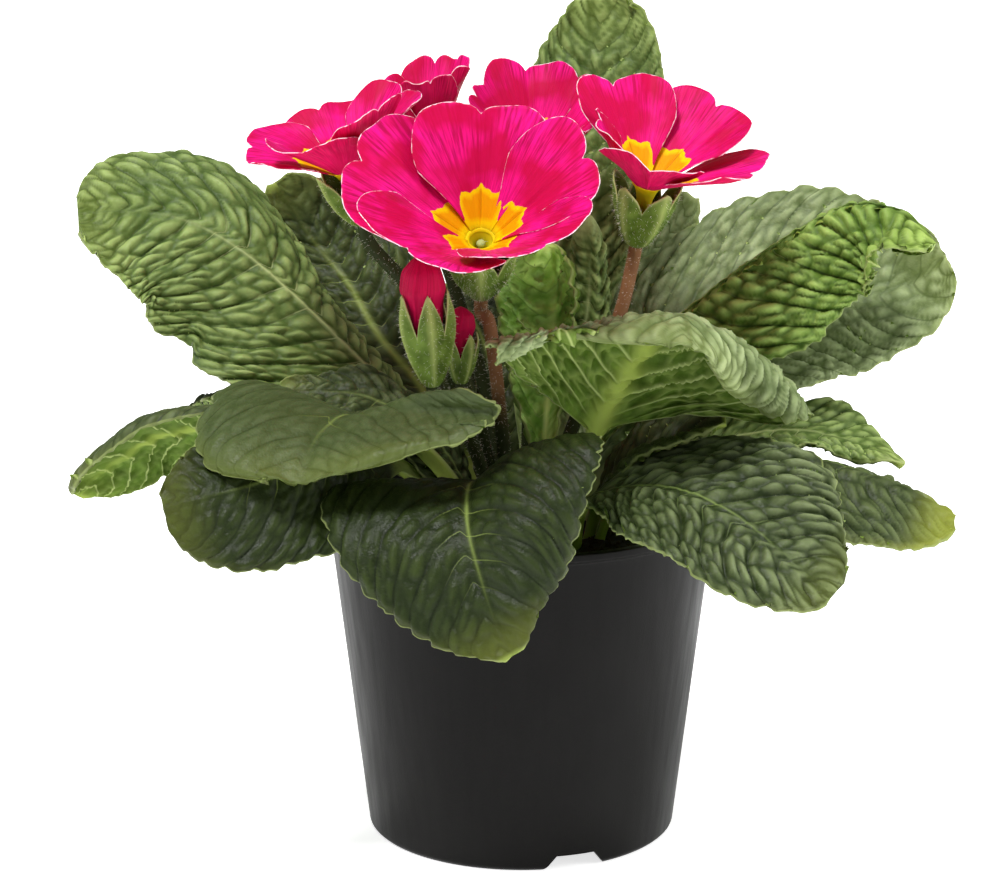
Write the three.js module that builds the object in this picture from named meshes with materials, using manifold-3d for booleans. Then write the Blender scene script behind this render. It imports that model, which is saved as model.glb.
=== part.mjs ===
// A primrose in flower in its 9 cm nursery pot. Millimetres, +Z up.
// The origin is the middle of the circle on which the pot stands.
//
// Every leaf stands on its own petiole and every flower on its own stalk, in a blind hole in the
// compost. A leaf is one thin arched sheet along a rib; a corolla is five petals on a hollow tube.

import * as THREE from "three";
import { mergeVertices } from "three/addons/utils/BufferGeometryUtils.js";
import Module from "manifold-3d";

const wasm = await Module();
wasm.setup();

// ---- Driving dimensions ------------------------------------------------------------------------

const POT_HEIGHT = 76;
const RIM_RADIUS = 45;
const BASE_RADIUS = 35;
const POT_WALL = 1.2;
const POT_SIDES = 36;
const LIP_DEPTH = 1.6;
const LIP_OVERHANG = 0.8;
const LIP_CHAMFER = 0.3;
const FLOOR_UNDERSIDE = 3.6;
const FLOOR_CORNER = 1.5;
const FOOT_WIDTH = 2.4;
const FOOT_SLOPE = 1.2;
const FOOT_CHAMFER = 0.8;

const NOTCH_COUNT = 3;
const NOTCH_HEADING = -70;
const NOTCH_WIDTH_BELOW = 14.4;
const NOTCH_WIDTH_ABOVE = 9;
const NOTCH_HEIGHT = 3.4;
const DRAIN_COUNT = 6;
const DRAIN_RADIUS = 3.2;
const DRAIN_CIRCLE = 21;

const GAP = 0.3;
const SOIL_EDGE = 67.5;
const SOIL_SHOULDER = 68.4;
const SOIL_MIDDLE = 69;
const HOLE_FLOOR = 58.6;
const LEAF_HOLE_RADIUS = 3.3;
const STALK_HOLE_RADIUS = 1.9;

const BLADE_THICKNESS = 0.8;
const PETIOLE_HALF_WIDTH = 2.1;
const KEEL_AT_BASE = 1.9;
const KEEL_AT_TIP = 0.3;
const RIDGE_HEIGHT = 0.45;
const TOOTH_DEPTH = 0.06;
const MARGIN_SWEEP = 0.056;

const PETAL_THICKNESS = 0.7;
const PETAL_NOTCH_DEPTH = 0.1;
const PETAL_NOTCH_WIDTH = 0.13;
const PETAL_OVERLAP = 1.3;
const PETAL_RUFFLE = 0.8;
const THROAT_RADIUS = 2.4;
const TUBE_LENGTH = 10.6;
const TUBE_RADIUS = 1.8;
const TUBE_BORE = 1.1;
const STIGMA_RADIUS = 0.8;
const STYLE_RADIUS = 0.45;
const STALK_RADIUS = 1.35;

// The calyx below the throat, from the stalk up: radius and height.
const CALYX_DEPTH = 13;
const CALYX_MOUTH = -4.6;
const CALYX_OUTSIDE = [[1.5, -CALYX_DEPTH], [3.4, -11.2], [5, -8.2], [6.2, CALYX_MOUTH]];
const CALYX_INSIDE = [[5.4, CALYX_MOUTH], [4.2, -8.2], [2.6, -11]];
const CALYX_TOOTH_RISE = 4.4;
const CALYX_RIDGE = 0.06;
const CALYX_TEETH = 5;

// The rolled petals of a bud, from the calyx up: radius and height.
const BUD_OUTSIDE = [[1, -10.4], [2.2, -9.6], [3.4, -5.5], [4.3, -1], [4.6, 3], [3.8, 6.5], [1.2, 8.6]];
const BUD_LOBE = 0.07;
const BUD_TWIST = 0.05;

// ---- Leaves ------------------------------------------------------------------------------------
// heading: compass angle of the blade, in degrees from +X towards +Y.
// rib: points of the midrib, from inside the compost to the tip.
// roll: degrees by which the whole blade is turned about its rib.
// width, fold, curl: one entry for each half of the blade, right and then left of the rib, seen from
// above with the tip away. Width is in millimetres. Fold is the angle by which the half is lifted at
// the rib, and curl is how much further it has turned at the margin.
// roll, fold and curl are lists in degrees at even steps from base to tip, and wave is the margin's
// height, count and phase. blade: the parts of the length at which it starts and is widest, and how
// blunt the tip is. grid: the sheet's rows along the rib and columns across it.

const BIG = { rows: 12, columns: 6 };
const SMALL = { rows: 11, columns: 4 };

const LEAVES = [
  {
    name: "leaf_01_upper_left",
    heading: 168,
    rib: [[-9, 2, 60], [-16, 3, 80], [-26, 5, 97], [-38.5, 8, 109.5], [-52, 12, 122], [-64, 15, 131.5],
      [-76, 18, 137.5], [-88, 18.5, 139.5], [-101, 17, 139]],
    width: [27, 28],
    roll: [-30, -50, -55, -45],
    fold: [[-25, -20, 22], [10, 0, 0]],
    curl: [[-130, -115, -45], [0, 10]],
    wave: [1.2, 4, 0],
    blade: { start: 0.2, widest: 0.64, tip: 2.6 },
    grid: BIG,
  },
  {
    name: "leaf_02_left_inner",
    heading: 190,
    rib: [[-9, -3, 60], [-12, -6, 80], [-20, -9, 94], [-33, -9, 102.5], [-45, -8, 104], [-54, -6, 103]],
    width: [11, 12],
    roll: [0, -20, -30],
    fold: [[10], [0]],
    curl: [[0], [-30]],
    wave: [1.2, 4, 0],
    blade: { start: 0.2, widest: 0.5 },
    grid: SMALL,
  },
  {
    name: "leaf_03_back_left",
    heading: 136,
    rib: [[-7, 6, 60], [-13, 11, 80], [-22, 18, 97], [-33, 27.5, 108.5], [-40.5, 36.6, 119], [-47, 43, 125.5],
      [-52.5, 46, 132.5], [-58, 48, 141]],
    width: [20, 12.5],
    roll: [-30, -40],
    fold: [[10], [0]],
    curl: [[0], [0]],
    wave: [1, 3, 1],
    blade: { start: 0.2, widest: 0.6 },
    grid: BIG,
  },
  {
    name: "leaf_04_front_left",
    heading: 248,
    rib: [[-9, -12, 60], [-13, -15, 80], [-24, -20, 96], [-37, -27, 104.5], [-43, -36, 103.5],
      [-46, -44, 100], [-47, -50, 95.5]],
    width: [30, 42],
    roll: [0],
    fold: [[28], [20]],
    curl: [[-20], [-15]],
    wave: [0.6, 3, 0],
    blade: { start: 0.55, widest: 0.72, tip: 2.4, end: 0.5 },
    grid: BIG,
  },
  {
    name: "leaf_05_low_left",
    heading: 205,
    rib: [[-14, -7, 60], [-18, -11, 79], [-26, -19, 90], [-37, -30, 94], [-48, -39, 94], [-58, -44, 92],
      [-68, -47, 90], [-77, -46, 87]],
    width: [17, 20],
    roll: [0, -35, -62, -62, -60],
    fold: [[-12], [5]],
    curl: [[-20], [0]],
    wave: [1, 2, 0],
    blade: { start: 0.38, widest: 0.7, tip: 2.6, end: 0.42 },
    grid: BIG,
  },
  {
    name: "leaf_06_far_left",
    heading: 185,
    rib: [[-15.5, 0, 60], [-21, 0, 78], [-36, -3, 90], [-58, -9, 96.5], [-79, -13, 96], [-89, -15, 91],
      [-96, -16, 86], [-99, -16, 82]],
    width: [14, 17],
    roll: [0, 50, 60],
    fold: [[0], [0]],
    curl: [[0], [-60]],
    wave: [1, 2, 0],
    blade: { start: 0.3, widest: 0.66 },
    grid: BIG,
  },
  {
    name: "leaf_07_front",
    heading: 262,
    rib: [[-2, -15.5, 60], [-4, -20, 77], [-7, -29, 88], [-11, -42, 92], [-12, -50, 90], [-11.5, -58, 85],
      [-9, -64, 77], [-6, -68, 69], [-2, -70, 62]],
    width: [33, 33],
    roll: [0],
    fold: [[0], [50, 48, 20]],
    curl: [[-12], [-50]],
    wave: [1, 2, 0],
    blade: { start: 0.34, widest: 0.55, tip: 1.6, end: 0.7 },
    grid: BIG,
  },
  {
    name: "leaf_08_arched_front",
    heading: 290,
    rib: [[5, -10, 60], [10, -14, 78], [14, -16.5, 90], [17, -18.5, 100], [21, -21, 109], [27, -25, 119],
      [32, -31, 126.5], [35, -39, 128], [36, -47, 123.5]],
    width: [46, 42],
    roll: [0],
    fold: [[10, 4], [35, 20, -30]],
    curl: [[-32], [-60, -60, -45]],
    wave: [1, 3, 0],
    blade: { start: 0.42, widest: 0.7, tip: 3 },
    grid: BIG,
  },
  {
    name: "leaf_09_low_right",
    heading: 312,
    rib: [[11, -11, 60], [12, -15, 76], [16, -21, 84], [27, -30, 88.5], [37, -41, 89.5], [47, -50, 86],
      [56.5, -57, 79.5], [65.5, -60, 72]],
    width: [21, 25],
    roll: [0, 18, 20],
    fold: [[0], [5]],
    curl: [[0], [0]],
    wave: [1, 3, 0],
    blade: { start: 0.2, widest: 0.62 },
    grid: BIG,
  },
  {
    name: "leaf_10_far_right",
    heading: 345,
    rib: [[15, -5, 60], [19, -7, 76], [30, -14, 87], [48, -18, 92], [64, -20, 92], [74, -22, 90],
      [85, -23, 86], [96, -22, 79]],
    width: [23, 20],
    roll: [0, 25, 30],
    fold: [[0], [-52]],
    curl: [[0], [0]],
    wave: [1, 3, 0],
    blade: { start: 0.3, widest: 0.66 },
    grid: BIG,
  },
  {
    name: "leaf_11_right_folded",
    heading: 0,
    rib: [[15.5, 2, 60], [19, 1, 77], [28, -1.5, 86], [45, -4, 92], [60, -5, 94.5], [71, -6, 93],
      [80, -8, 90.5], [85, -10, 87]],
    width: [8, 12],
    roll: [0],
    fold: [[-12], [20]],
    curl: [[0], [20]],
    wave: [1.5, 4, 0],
    blade: { start: 0.3, widest: 0.66 },
    grid: SMALL,
  },
  {
    name: "leaf_12_back_right",
    heading: 18,
    rib: [[14, 7, 60], [16, 9, 80], [22, 12, 97], [38, 17, 107], [56, 21, 114.5], [71, 24, 118],
      [87, 24, 122], [97, 21, 129]],
    width: [22, 31],
    roll: [30, 50],
    fold: [[5], [5]],
    curl: [[0], [0]],
    wave: [1, 3, 0],
    blade: { start: 0.28, widest: 0.66 },
    grid: BIG,
  },
  {
    name: "leaf_13_right_rolled",
    heading: 5,
    rib: [[9, 2, 60], [12, 2, 80], [17, 2, 98], [30, 2, 115], [44, 3, 127], [58, 4, 137], [73, 3, 145],
      [85, 0, 144], [92, -5, 137]],
    width: [25, 22],
    roll: [0],
    fold: [[-50], [-50]],
    curl: [[-20], [-20]],
    wave: [1.5, 4, 0],
    blade: { start: 0.16, widest: 0.66 },
    grid: BIG,
  },
  {
    name: "leaf_14_back_upright",
    heading: 85,
    rib: [[2, 9, 60], [3, 13, 85], [6, 21, 115], [11, 30, 145], [15, 39, 166], [16.5, 44, 178],
      [16, 46, 185]],
    width: [20, 14],
    roll: [0],
    fold: [[15], [15]],
    curl: [[0], [0]],
    wave: [1, 3, 0],
    blade: { start: 0.32, widest: 0.74, tip: 2.6, end: 0.45 },
    grid: BIG,
  },
  {
    name: "leaf_15_back_right_upright",
    heading: 55,
    rib: [[7, 10, 60], [9, 18.3, 85], [13, 29.6, 101], [22, 40, 117], [33, 47, 129], [41, 50, 137]],
    width: [14, 14],
    roll: [0],
    fold: [[15], [15]],
    curl: [[0], [0]],
    wave: [1, 3, 0],
    blade: { start: 0.3, widest: 0.66 },
    grid: SMALL,
  },
  {
    name: "leaf_16_centre_bright",
    heading: 270,
    rib: [[4, -4, 60], [5, -4, 85], [6, -5, 105], [7, -5, 118], [7, -5, 128], [5, -2, 136]],
    width: [7, 7],
    roll: [0],
    fold: [[10], [10]],
    curl: [[-80], [-80]],
    wave: [0.6, 4, 0],
    blade: { start: 0.3, widest: 0.7 },
    grid: SMALL,
  },
  {
    name: "leaf_17_centre_dark",
    heading: 60,
    rib: [[6, 3, 60], [9, 3, 85], [13, 3, 108], [15, 3, 122], [15, 4, 134], [13, 6, 142]],
    width: [7, 7],
    roll: [30],
    fold: [[10], [10]],
    curl: [[-60], [-60]],
    wave: [0.6, 4, 0],
    blade: { start: 0.3, widest: 0.65 },
    grid: SMALL,
  },
  {
    name: "leaf_18_inner_right",
    heading: 330,
    rib: [[12.5, -3.5, 60], [18, -6.6, 79], [27, -11, 90], [37, -14.5, 96], [45, -16.5, 98.5]],
    width: [9.5, 10],
    roll: [0],
    fold: [[10], [10]],
    curl: [[-20], [-20]],
    wave: [0.6, 3, 0],
    blade: { start: 0.4, widest: 0.7 },
    grid: SMALL,
  },
  {
    name: "leaf_19_low_back",
    heading: 105,
    rib: [[-2, 15.5, 60], [-3.5, 20, 80], [-6, 28, 98], [-10.5, 38, 109], [-16, 50, 114], [-21, 62, 112]],
    width: [13, 15],
    roll: [0],
    fold: [[10], [10]],
    curl: [[0], [0]],
    wave: [1.2, 3, 0],
    blade: { start: 0.25, widest: 0.66 },
    grid: SMALL,
  },
  {
    name: "leaf_20_low_back_right",
    heading: 50,
    rib: [[10, 12, 60], [15, 18, 80], [25, 30, 94], [38, 45, 99], [50, 58, 95], [57, 66, 88]],
    width: [22, 22],
    roll: [0],
    fold: [[8], [8]],
    curl: [[0], [0]],
    wave: [1.2, 3, 0],
    blade: { start: 0.25, widest: 0.66 },
    grid: SMALL,
  },
  {
    name: "leaf_21_low_back_left",
    heading: 150,
    rib: [[-13, 8, 60], [-19, 12, 79], [-34, 21, 91], [-52, 32, 95], [-68, 42, 92], [-77, 48, 85]],
    width: [20, 20],
    roll: [0],
    fold: [[8], [8]],
    curl: [[0], [0]],
    wave: [1.2, 3, 0],
    blade: { start: 0.25, widest: 0.66 },
    grid: SMALL,
  },
];

// ---- Flowers and buds --------------------------------------------------------------------------
// centre: middle of the throat. axis: the way the flower faces. petals: [lift at the throat, lift
// at the edge, share of the full radius, half the angle that the petal spans], the first at the
// upper side and then round to the left. above: 1 where a petal lies over the next one, or -1.
// scale and girth of a bud: how much longer and wider its calyx is than a flower's.

const FLOWERS = [
  {
    name: "flower_1",
    centre: [-9, -28, 142],
    axis: [0, -0.609, 0.793],
    radius: 31,
    petals: [[38, 38, 1, 48], [36, 36, 1.08, 48], [38, 36, 1.12, 50], [44, 40, 1.05, 50],
      [50, 46, 1, 46]],
    above: [-1, 1, 1, 1, 1],
    stalk: [[-2, -5, 60], [-4, -10, 90], [-7, -18, 120]],
  },
  {
    name: "flower_2",
    centre: [-38.5, -7, 153.5],
    axis: [-0.3, -0.3, 0.9],
    radius: 24,
    petals: [[34, 34, 1, 50], [30, 28, 1, 50], [26, 20, 0.95, 50], [44, 46, 0.9, 48], [46, 50, 1, 50]],
    above: [-1, 1, 1, 1, 1],
    stalk: [[-5, -1, 60], [-10, -3, 90], [-22, -7, 122]],
  },
  {
    name: "flower_3",
    centre: [-22, 22, 154],
    axis: [-0.1, 0, 0.99],
    radius: 23,
    petals: [[50, 50, 1, 50], [50, 50, 1, 50], [50, 50, 1, 50], [50, 50, 1, 50], [50, 50, 1, 50]],
    above: [-1, 1, 1, 1, 1],
    stalk: [[-3, 3.5, 60], [-6, 8, 90], [-14, 16, 118]],
  },
  {
    name: "flower_4",
    centre: [3, 10, 154],
    axis: [0.05, -0.3, 0.95],
    radius: 24,
    petals: [[46, 46, 1, 50], [50, 50, 0.9, 50], [50, 50, 0.9, 50], [50, 50, 0.9, 50], [48, 48, 0.95, 50]],
    above: [-1, 1, 1, 1, 1],
    stalk: [[1.5, 4.5, 60], [1.5, 8, 90], [3, 11, 120]],
  },
  {
    name: "flower_5",
    centre: [27.5, -8, 150.5],
    axis: [0.15, -0.25, 0.95],
    radius: 28,
    petals: [[42, 42, 1, 50], [50, 54, 0.8, 46], [40, 36, 0.9, 50], [30, 24, 1, 50], [38, 36, 1, 50]],
    above: [-1, 1, 1, 1, 1],
    stalk: [[2.5, -0.5, 60], [10, -2, 90], [21, -4, 118]],
  },
];

const BUDS = [
  {
    name: "bud_1",
    centre: [-21, -32, 128],
    axis: [-0.09, -0.05, 0.99],
    scale: 1.35,
    girth: 0.9,
    stalk: [[-5.5, -7.5, 60], [-9, -16, 88], [-17, -28, 108]],
  },
  {
    name: "bud_2",
    centre: [-13.5, -21, 119],
    axis: [0, 0.05, 0.99],
    scale: 0.8,
    girth: 0.6,
    stalk: [[-5, -4.5, 60], [-7, -9, 86], [-12, -18, 106]],
  },
];

// ---- Colours -----------------------------------------------------------------------------------

const COLOURS = {
  pot: { color: 0x242423, roughness: 0.45, metalness: 0 },
  soil: { color: 0x2a211b, roughness: 0.95, metalness: 0 },
  leaf: { color: 0x5a7a45, roughness: 0.6, metalness: 0 },
  stalk: { color: 0x8a6a52, roughness: 0.7, metalness: 0 },
  petal: { color: 0xe3126b, roughness: 0.55, metalness: 0 },
};

// ---- Small helpers -----------------------------------------------------------------------------

const SMALL_STEP = 0.01;
const NO_CURL = 1e-4;
const radians = THREE.MathUtils.degToRad;
const clamp = THREE.MathUtils.clamp;
const vector = ([x, y, z]) => new THREE.Vector3(x, y, z);
const evenSteps = (from, to, count) =>
  Array.from({ length: count + 1 }, (_, index) => from + ((to - from) * index) / count);

function smoothCurve(points) {
  return new THREE.CatmullRomCurve3(points.map(vector), false, "catmullrom", 0.5);
}

// The value at t, from 0 to 1, of a list of values at even steps, eased between them.
function valueAlong(values, t) {
  if (values.length === 1) return values[0];
  const place = clamp(t, 0, 1) * (values.length - 1);
  const index = Math.min(Math.floor(place), values.length - 2);
  const ease = THREE.MathUtils.smoothstep(place - index, 0, 1);
  return THREE.MathUtils.lerp(values[index], values[index + 1], ease);
}

function toSolid(geometry) {
  geometry.deleteAttribute("normal");
  geometry.deleteAttribute("uv");
  const merged = mergeVertices(geometry, 1e-4);
  return new wasm.Manifold(new wasm.Mesh({
    numProp: 3,
    vertProperties: new Float32Array(merged.attributes.position.array),
    triVerts: new Uint32Array(merged.index.array),
  }));
}

function toGeometry(solid) {
  const mesh = solid.getMesh();
  const geometry = new THREE.BufferGeometry();
  geometry.setAttribute("position", new THREE.BufferAttribute(mesh.vertProperties, 3));
  geometry.setIndex(new THREE.BufferAttribute(mesh.triVerts, 1));
  return geometry;
}

function indexedGeometry(points, faces) {
  const geometry = new THREE.BufferGeometry();
  geometry.setFromPoints(points);
  geometry.setIndex(faces.flat());
  return geometry;
}

// A thin closed sheet on a grid of u from 0 to 1 and v from -1 to 1. Both faces share their
// diagonals, so that they never cross.
function sheetGeometry(pointAt, uSteps, vSteps, thicknessAt, liftAt, edgeAt) {
  const upper = [];
  const lower = [];
  const rows = uSteps.length - 1;
  const columns = vSteps.length - 1;
  for (let row = 0; row <= rows; row += 1) {
    for (let column = 0; column <= columns; column += 1) {
      const u = uSteps[row];
      const v = vSteps[column] * edgeAt(row, column);
      const alongU = pointAt(Math.min(u + SMALL_STEP, 1), v).sub(pointAt(Math.max(u - SMALL_STEP, 0), v));
      const alongV = pointAt(u, Math.min(v + SMALL_STEP, 1)).sub(pointAt(u, Math.max(v - SMALL_STEP, -1)));
      const normal = alongU.cross(alongV).normalize();
      const point = pointAt(u, v).addScaledVector(normal, liftAt(row, v));
      upper.push(point);
      lower.push(point.clone().addScaledVector(normal, -thicknessAt(u, v)));
    }
  }
  const faces = [];
  const count = upper.length;
  const at = (row, column) => row * (columns + 1) + column;
  for (let row = 0; row < rows; row += 1) {
    for (let column = 0; column < columns; column += 1) {
      const a = at(row, column);
      const b = at(row + 1, column);
      const c = at(row + 1, column + 1);
      const d = at(row, column + 1);
      faces.push([a, b, c], [a, c, d]);
      faces.push([count + a, count + c, count + b], [count + a, count + d, count + c]);
    }
  }
  const wall = (a, b) => faces.push([a, count + a, count + b], [a, count + b, b]);
  for (let row = 0; row < rows; row += 1) {
    wall(at(row, 0), at(row + 1, 0));
    wall(at(row + 1, columns), at(row, columns));
  }
  for (let column = 0; column < columns; column += 1) {
    wall(at(0, column + 1), at(0, column));
    wall(at(rows, column), at(rows, column + 1));
  }
  return indexedGeometry([...upper, ...lower], faces);
}

// A closed tube through rings of points, capped at both ends.
function ringsGeometry(rings) {
  const sides = rings[0].length;
  const points = rings.flat();
  const faces = [];
  for (let ring = 0; ring < rings.length - 1; ring += 1) {
    for (let side = 0; side < sides; side += 1) {
      const a = ring * sides + side;
      const b = ring * sides + ((side + 1) % sides);
      faces.push([a, b, b + sides], [a, b + sides, a + sides]);
    }
  }
  const cap = (start, order) => {
    const middle = new THREE.Vector3();
    for (let side = 0; side < sides; side += 1) middle.add(points[start + side]);
    const centre = points.push(middle.divideScalar(sides)) - 1;
    for (let side = 0; side < sides; side += 1) {
      const pair = [start + side, start + ((side + 1) % sides)];
      faces.push(order > 0 ? [centre, ...pair] : [centre, ...pair.reverse()]);
    }
  };
  cap(0, -1);
  cap((rings.length - 1) * sides, 1);
  return indexedGeometry(points, faces);
}

// A frame on an axis: the axis, and the two directions that span the flower's face.
function faceFrame(axis) {
  const out = vector(axis).normalize();
  const up = new THREE.Vector3(0, 0, 1);
  up.addScaledVector(out, -up.dot(out)).normalize();
  const right = up.clone().cross(out);
  return { out, up, right };
}

function placeInFrame(frame, centre, angle, radius, height) {
  const turn = angle + Math.PI / 2;
  return centre.clone()
    .addScaledVector(frame.right, Math.cos(turn) * radius)
    .addScaledVector(frame.up, Math.sin(turn) * radius)
    .addScaledVector(frame.out, height);
}

// ---- Leaf --------------------------------------------------------------------------------------

function halfWidth(t, width, blade) {
  const { start, widest, tip = 2, end = 0.5 } = blade;
  const power = 1.25;
  const blunt = 0.985;
  const rise = Math.sin((clamp((t - start) / (widest - start), 0, 1) * Math.PI) / 2) ** power;
  if (t < widest) return PETIOLE_HALF_WIDTH + (width - PETIOLE_HALF_WIDTH) * rise;
  const fall = clamp((t - widest) / (1 - widest), 0, 1) * blunt;
  return width * (1 - fall ** tip) ** end;
}

function leafPointAt(leaf) {
  const rib = smoothCurve(leaf.rib);
  const across = radians(leaf.heading + 90);
  const level = new THREE.Vector3(Math.cos(across), Math.sin(across), 0);
  const farWavePhase = 1.3;
  return (u, v) => {
    const q = Math.abs(v);
    const t = clamp(u + MARGIN_SWEEP * q * Math.sin(Math.PI * clamp(u, 0, 1)), 0, 1);
    const ahead = rib.getPointAt(Math.min(t + SMALL_STEP, 1));
    const tangent = ahead.sub(rib.getPointAt(Math.max(t - SMALL_STEP, 0))).normalize();
    const side = level.clone().addScaledVector(tangent, -level.dot(tangent)).normalize();
    const face = tangent.clone().cross(side);
    const roll = radians(valueAlong(leaf.roll, t));
    const turnedSide = side.clone().multiplyScalar(Math.cos(roll)).addScaledVector(face, Math.sin(roll));
    const turnedFace = face.clone().multiplyScalar(Math.cos(roll)).addScaledVector(side, -Math.sin(roll));
    const half = v < 0 ? 0 : 1;
    const width = halfWidth(t, leaf.width[half], leaf.blade);
    const fold = radians(valueAlong(leaf.fold[half], t));
    const curl = radians(valueAlong(leaf.curl[half], t)) || NO_CURL;
    const out = (width * (Math.sin(fold + curl * q) - Math.sin(fold))) / curl;
    const bend = (-width * (Math.cos(fold + curl * q) - Math.cos(fold))) / curl;
    const [waveHeight, waveCount, wavePhase] = leaf.wave;
    const phase = wavePhase + (half === 0 ? farWavePhase : 0);
    const grown = clamp((t - 0.25) / 0.3, 0, 1);
    const waved = bend + waveHeight * q * q * grown * Math.sin(2 * Math.PI * waveCount * t + phase);
    return rib.getPointAt(t)
      .addScaledVector(turnedSide, Math.sign(v) * out)
      .addScaledVector(turnedFace, waved);
  };
}

function leafGeometry(leaf) {
  const { rows, columns } = leaf.grid;
  const pointAt = leafPointAt(leaf);
  const thicknessAt = (u, v) => {
    const keel = THREE.MathUtils.lerp(KEEL_AT_BASE, KEEL_AT_TIP, Math.sqrt(u));
    return BLADE_THICKNESS + keel * clamp(1 - (Math.abs(v) * columns) / 2, 0, 1);
  };
  const liftAt = (row, v) => {
    const grown = clamp((row / rows - leaf.blade.start) * 4, 0, 1);
    const between = Math.sin(Math.PI * Math.min(Math.abs(v), 1));
    return RIDGE_HEIGHT * grown * between * (row % 2 === 0 ? 1 : -1);
  };
  const edgeAt = (row, column) => {
    const onMargin = column === 0 || column === columns;
    return onMargin && row % 2 === 1 ? 1 - TOOTH_DEPTH : 1;
  };
  const uSteps = evenSteps(0, 1, rows);
  const vSteps = evenSteps(-1, 1, columns);
  return sheetGeometry(pointAt, uSteps, vSteps, thicknessAt, liftAt, edgeAt);
}

// ---- Flower ------------------------------------------------------------------------------------

function petalPointAt(flower, index) {
  const frame = faceFrame(flower.axis);
  const centre = vector(flower.centre);
  const [liftIn, liftOut, share, spread] = flower.petals[index];
  const overNext = -flower.above[index] * PETAL_OVERLAP;
  const overLast = flower.above[(index + 4) % 5] * PETAL_OVERLAP;
  return (u, v) => {
    const q = Math.abs(v);
    const rounded = 1 - 0.42 * (Math.max(q - 0.45, 0) / 0.55) ** 2.2;
    const notch = PETAL_NOTCH_DEPTH * Math.exp(-((v / PETAL_NOTCH_WIDTH) ** 2));
    const scallop = 0.02 * Math.cos(2 * Math.PI * q);
    const reach = flower.radius * share * (rounded - notch - scallop) - THROAT_RADIUS;
    const full = flower.radius * share - THROAT_RADIUS;
    const x = (u * reach) / full;
    const from = radians(liftIn);
    const bend = radians(liftOut - liftIn) || NO_CURL;
    const radius = THROAT_RADIUS + (full * (Math.sin(from + bend * x) - Math.sin(from))) / bend;
    const rise = (-full * (Math.cos(from + bend * x) - Math.cos(from))) / bend;
    const tilt = (v > 0 ? overNext : overLast) * q ** 1.5 * Math.sqrt(Math.max(x, 0));
    const ruffle = PETAL_RUFFLE * x ** 3 * Math.sin(5 * v + 1.7 * index);
    const angle = radians(72 * index) + v * radians(spread);
    return placeInFrame(frame, centre, angle, radius, rise + tilt + ruffle);
  };
}

// The steps are closer together at the notch in the middle of the petal's edge.
const PETAL_U = [0, 0.4, 0.75, 1];
const PETAL_V = [-1, -0.78, -0.45, -0.14, 0, 0.14, 0.45, 0.78, 1];

function petalSolid(flower, index) {
  const thicknessAt = () => PETAL_THICKNESS;
  const noLift = () => 0;
  const noTeeth = () => 1;
  const pointAt = petalPointAt(flower, index);
  return toSolid(sheetGeometry(pointAt, PETAL_U, PETAL_V, thicknessAt, noLift, noTeeth));
}

// A hollow or solid turned body on a flower's axis, from pairs of radius and height.
function turnedSolid(flower, profile, sides) {
  const points = profile.map(([radius, height]) => new THREE.Vector2(radius, height));
  const geometry = new THREE.LatheGeometry(points, sides);
  const { out, up, right } = faceFrame(flower.axis);
  const turn = new THREE.Matrix4().makeBasis(right, out, up.clone().negate());
  geometry.applyMatrix4(turn);
  geometry.translate(...flower.centre);
  return toSolid(geometry);
}

function corollaGeometry(flower) {
  const sides = 10;
  const mouthDepth = 3;
  let solid = turnedSolid(flower, [
    [TUBE_BORE, -TUBE_LENGTH],
    [TUBE_RADIUS, -TUBE_LENGTH],
    [TUBE_RADIUS, -mouthDepth],
    [THROAT_RADIUS + 1.1, 0.1],
    [THROAT_RADIUS + 0.6, 0.6],
    [TUBE_BORE + 0.5, -0.6],
    [TUBE_BORE, -mouthDepth],
    [TUBE_BORE, -TUBE_LENGTH],
  ], sides);
  flower.petals.forEach((petal, index) => {
    solid = solid.add(petalSolid(flower, index));
  });
  return toGeometry(solid);
}

// The toothed calyx, as a cup with its floor on the stalk. Every other side is a ridge that runs
// up into a tooth.
function calyxSolid(flower) {
  const { scale = 1, girth = 1 } = flower;
  const frame = faceFrame(flower.axis);
  const centre = vector(flower.centre);
  const sides = 2 * CALYX_TEETH;
  const ring = (radius, height, toothed) => Array.from({ length: sides }, (_, side) => {
    const onRidge = side % 2 === 0;
    const ridged = radius * (onRidge ? 1 + CALYX_RIDGE : 1 - CALYX_RIDGE);
    const rise = toothed && onRidge ? CALYX_TOOTH_RISE : 0;
    const angle = (2 * Math.PI * (side + 1)) / sides;
    return placeInFrame(frame, centre, angle, ridged * girth, (height + rise) * scale);
  });
  const rings = [
    ...CALYX_OUTSIDE.map(([radius, height]) => ring(radius, height, height === CALYX_MOUTH)),
    ...CALYX_INSIDE.map(([radius, height]) => ring(radius, height, height === CALYX_MOUTH)),
  ];
  return toSolid(ringsGeometry(rings));
}

function stalkSolid(flower) {
  const { scale = 1 } = flower;
  const { out } = faceFrame(flower.axis);
  const sunk = 0.6;
  const straight = 5;
  const top = vector(flower.centre).addScaledVector(out, -(CALYX_DEPTH - sunk) * scale);
  const under = vector(flower.centre).addScaledVector(out, -(CALYX_DEPTH + straight) * scale);
  const path = smoothCurve([...flower.stalk, under.toArray(), top.toArray()]);
  const steps = 7;
  const sides = 6;
  const rings = [];
  for (let step = 0; step <= steps; step += 1) {
    const t = step / steps;
    const tangent = path.getTangentAt(t);
    const side = new THREE.Vector3(1, 0, 0).addScaledVector(tangent, -tangent.x).normalize();
    const other = tangent.clone().cross(side);
    rings.push(Array.from({ length: sides }, (_, corner) => {
      const angle = (2 * Math.PI * corner) / sides;
      return path.getPointAt(t)
        .addScaledVector(side, Math.cos(angle) * STALK_RADIUS)
        .addScaledVector(other, Math.sin(angle) * STALK_RADIUS);
    }));
  }
  return toSolid(ringsGeometry(rings));
}

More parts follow.
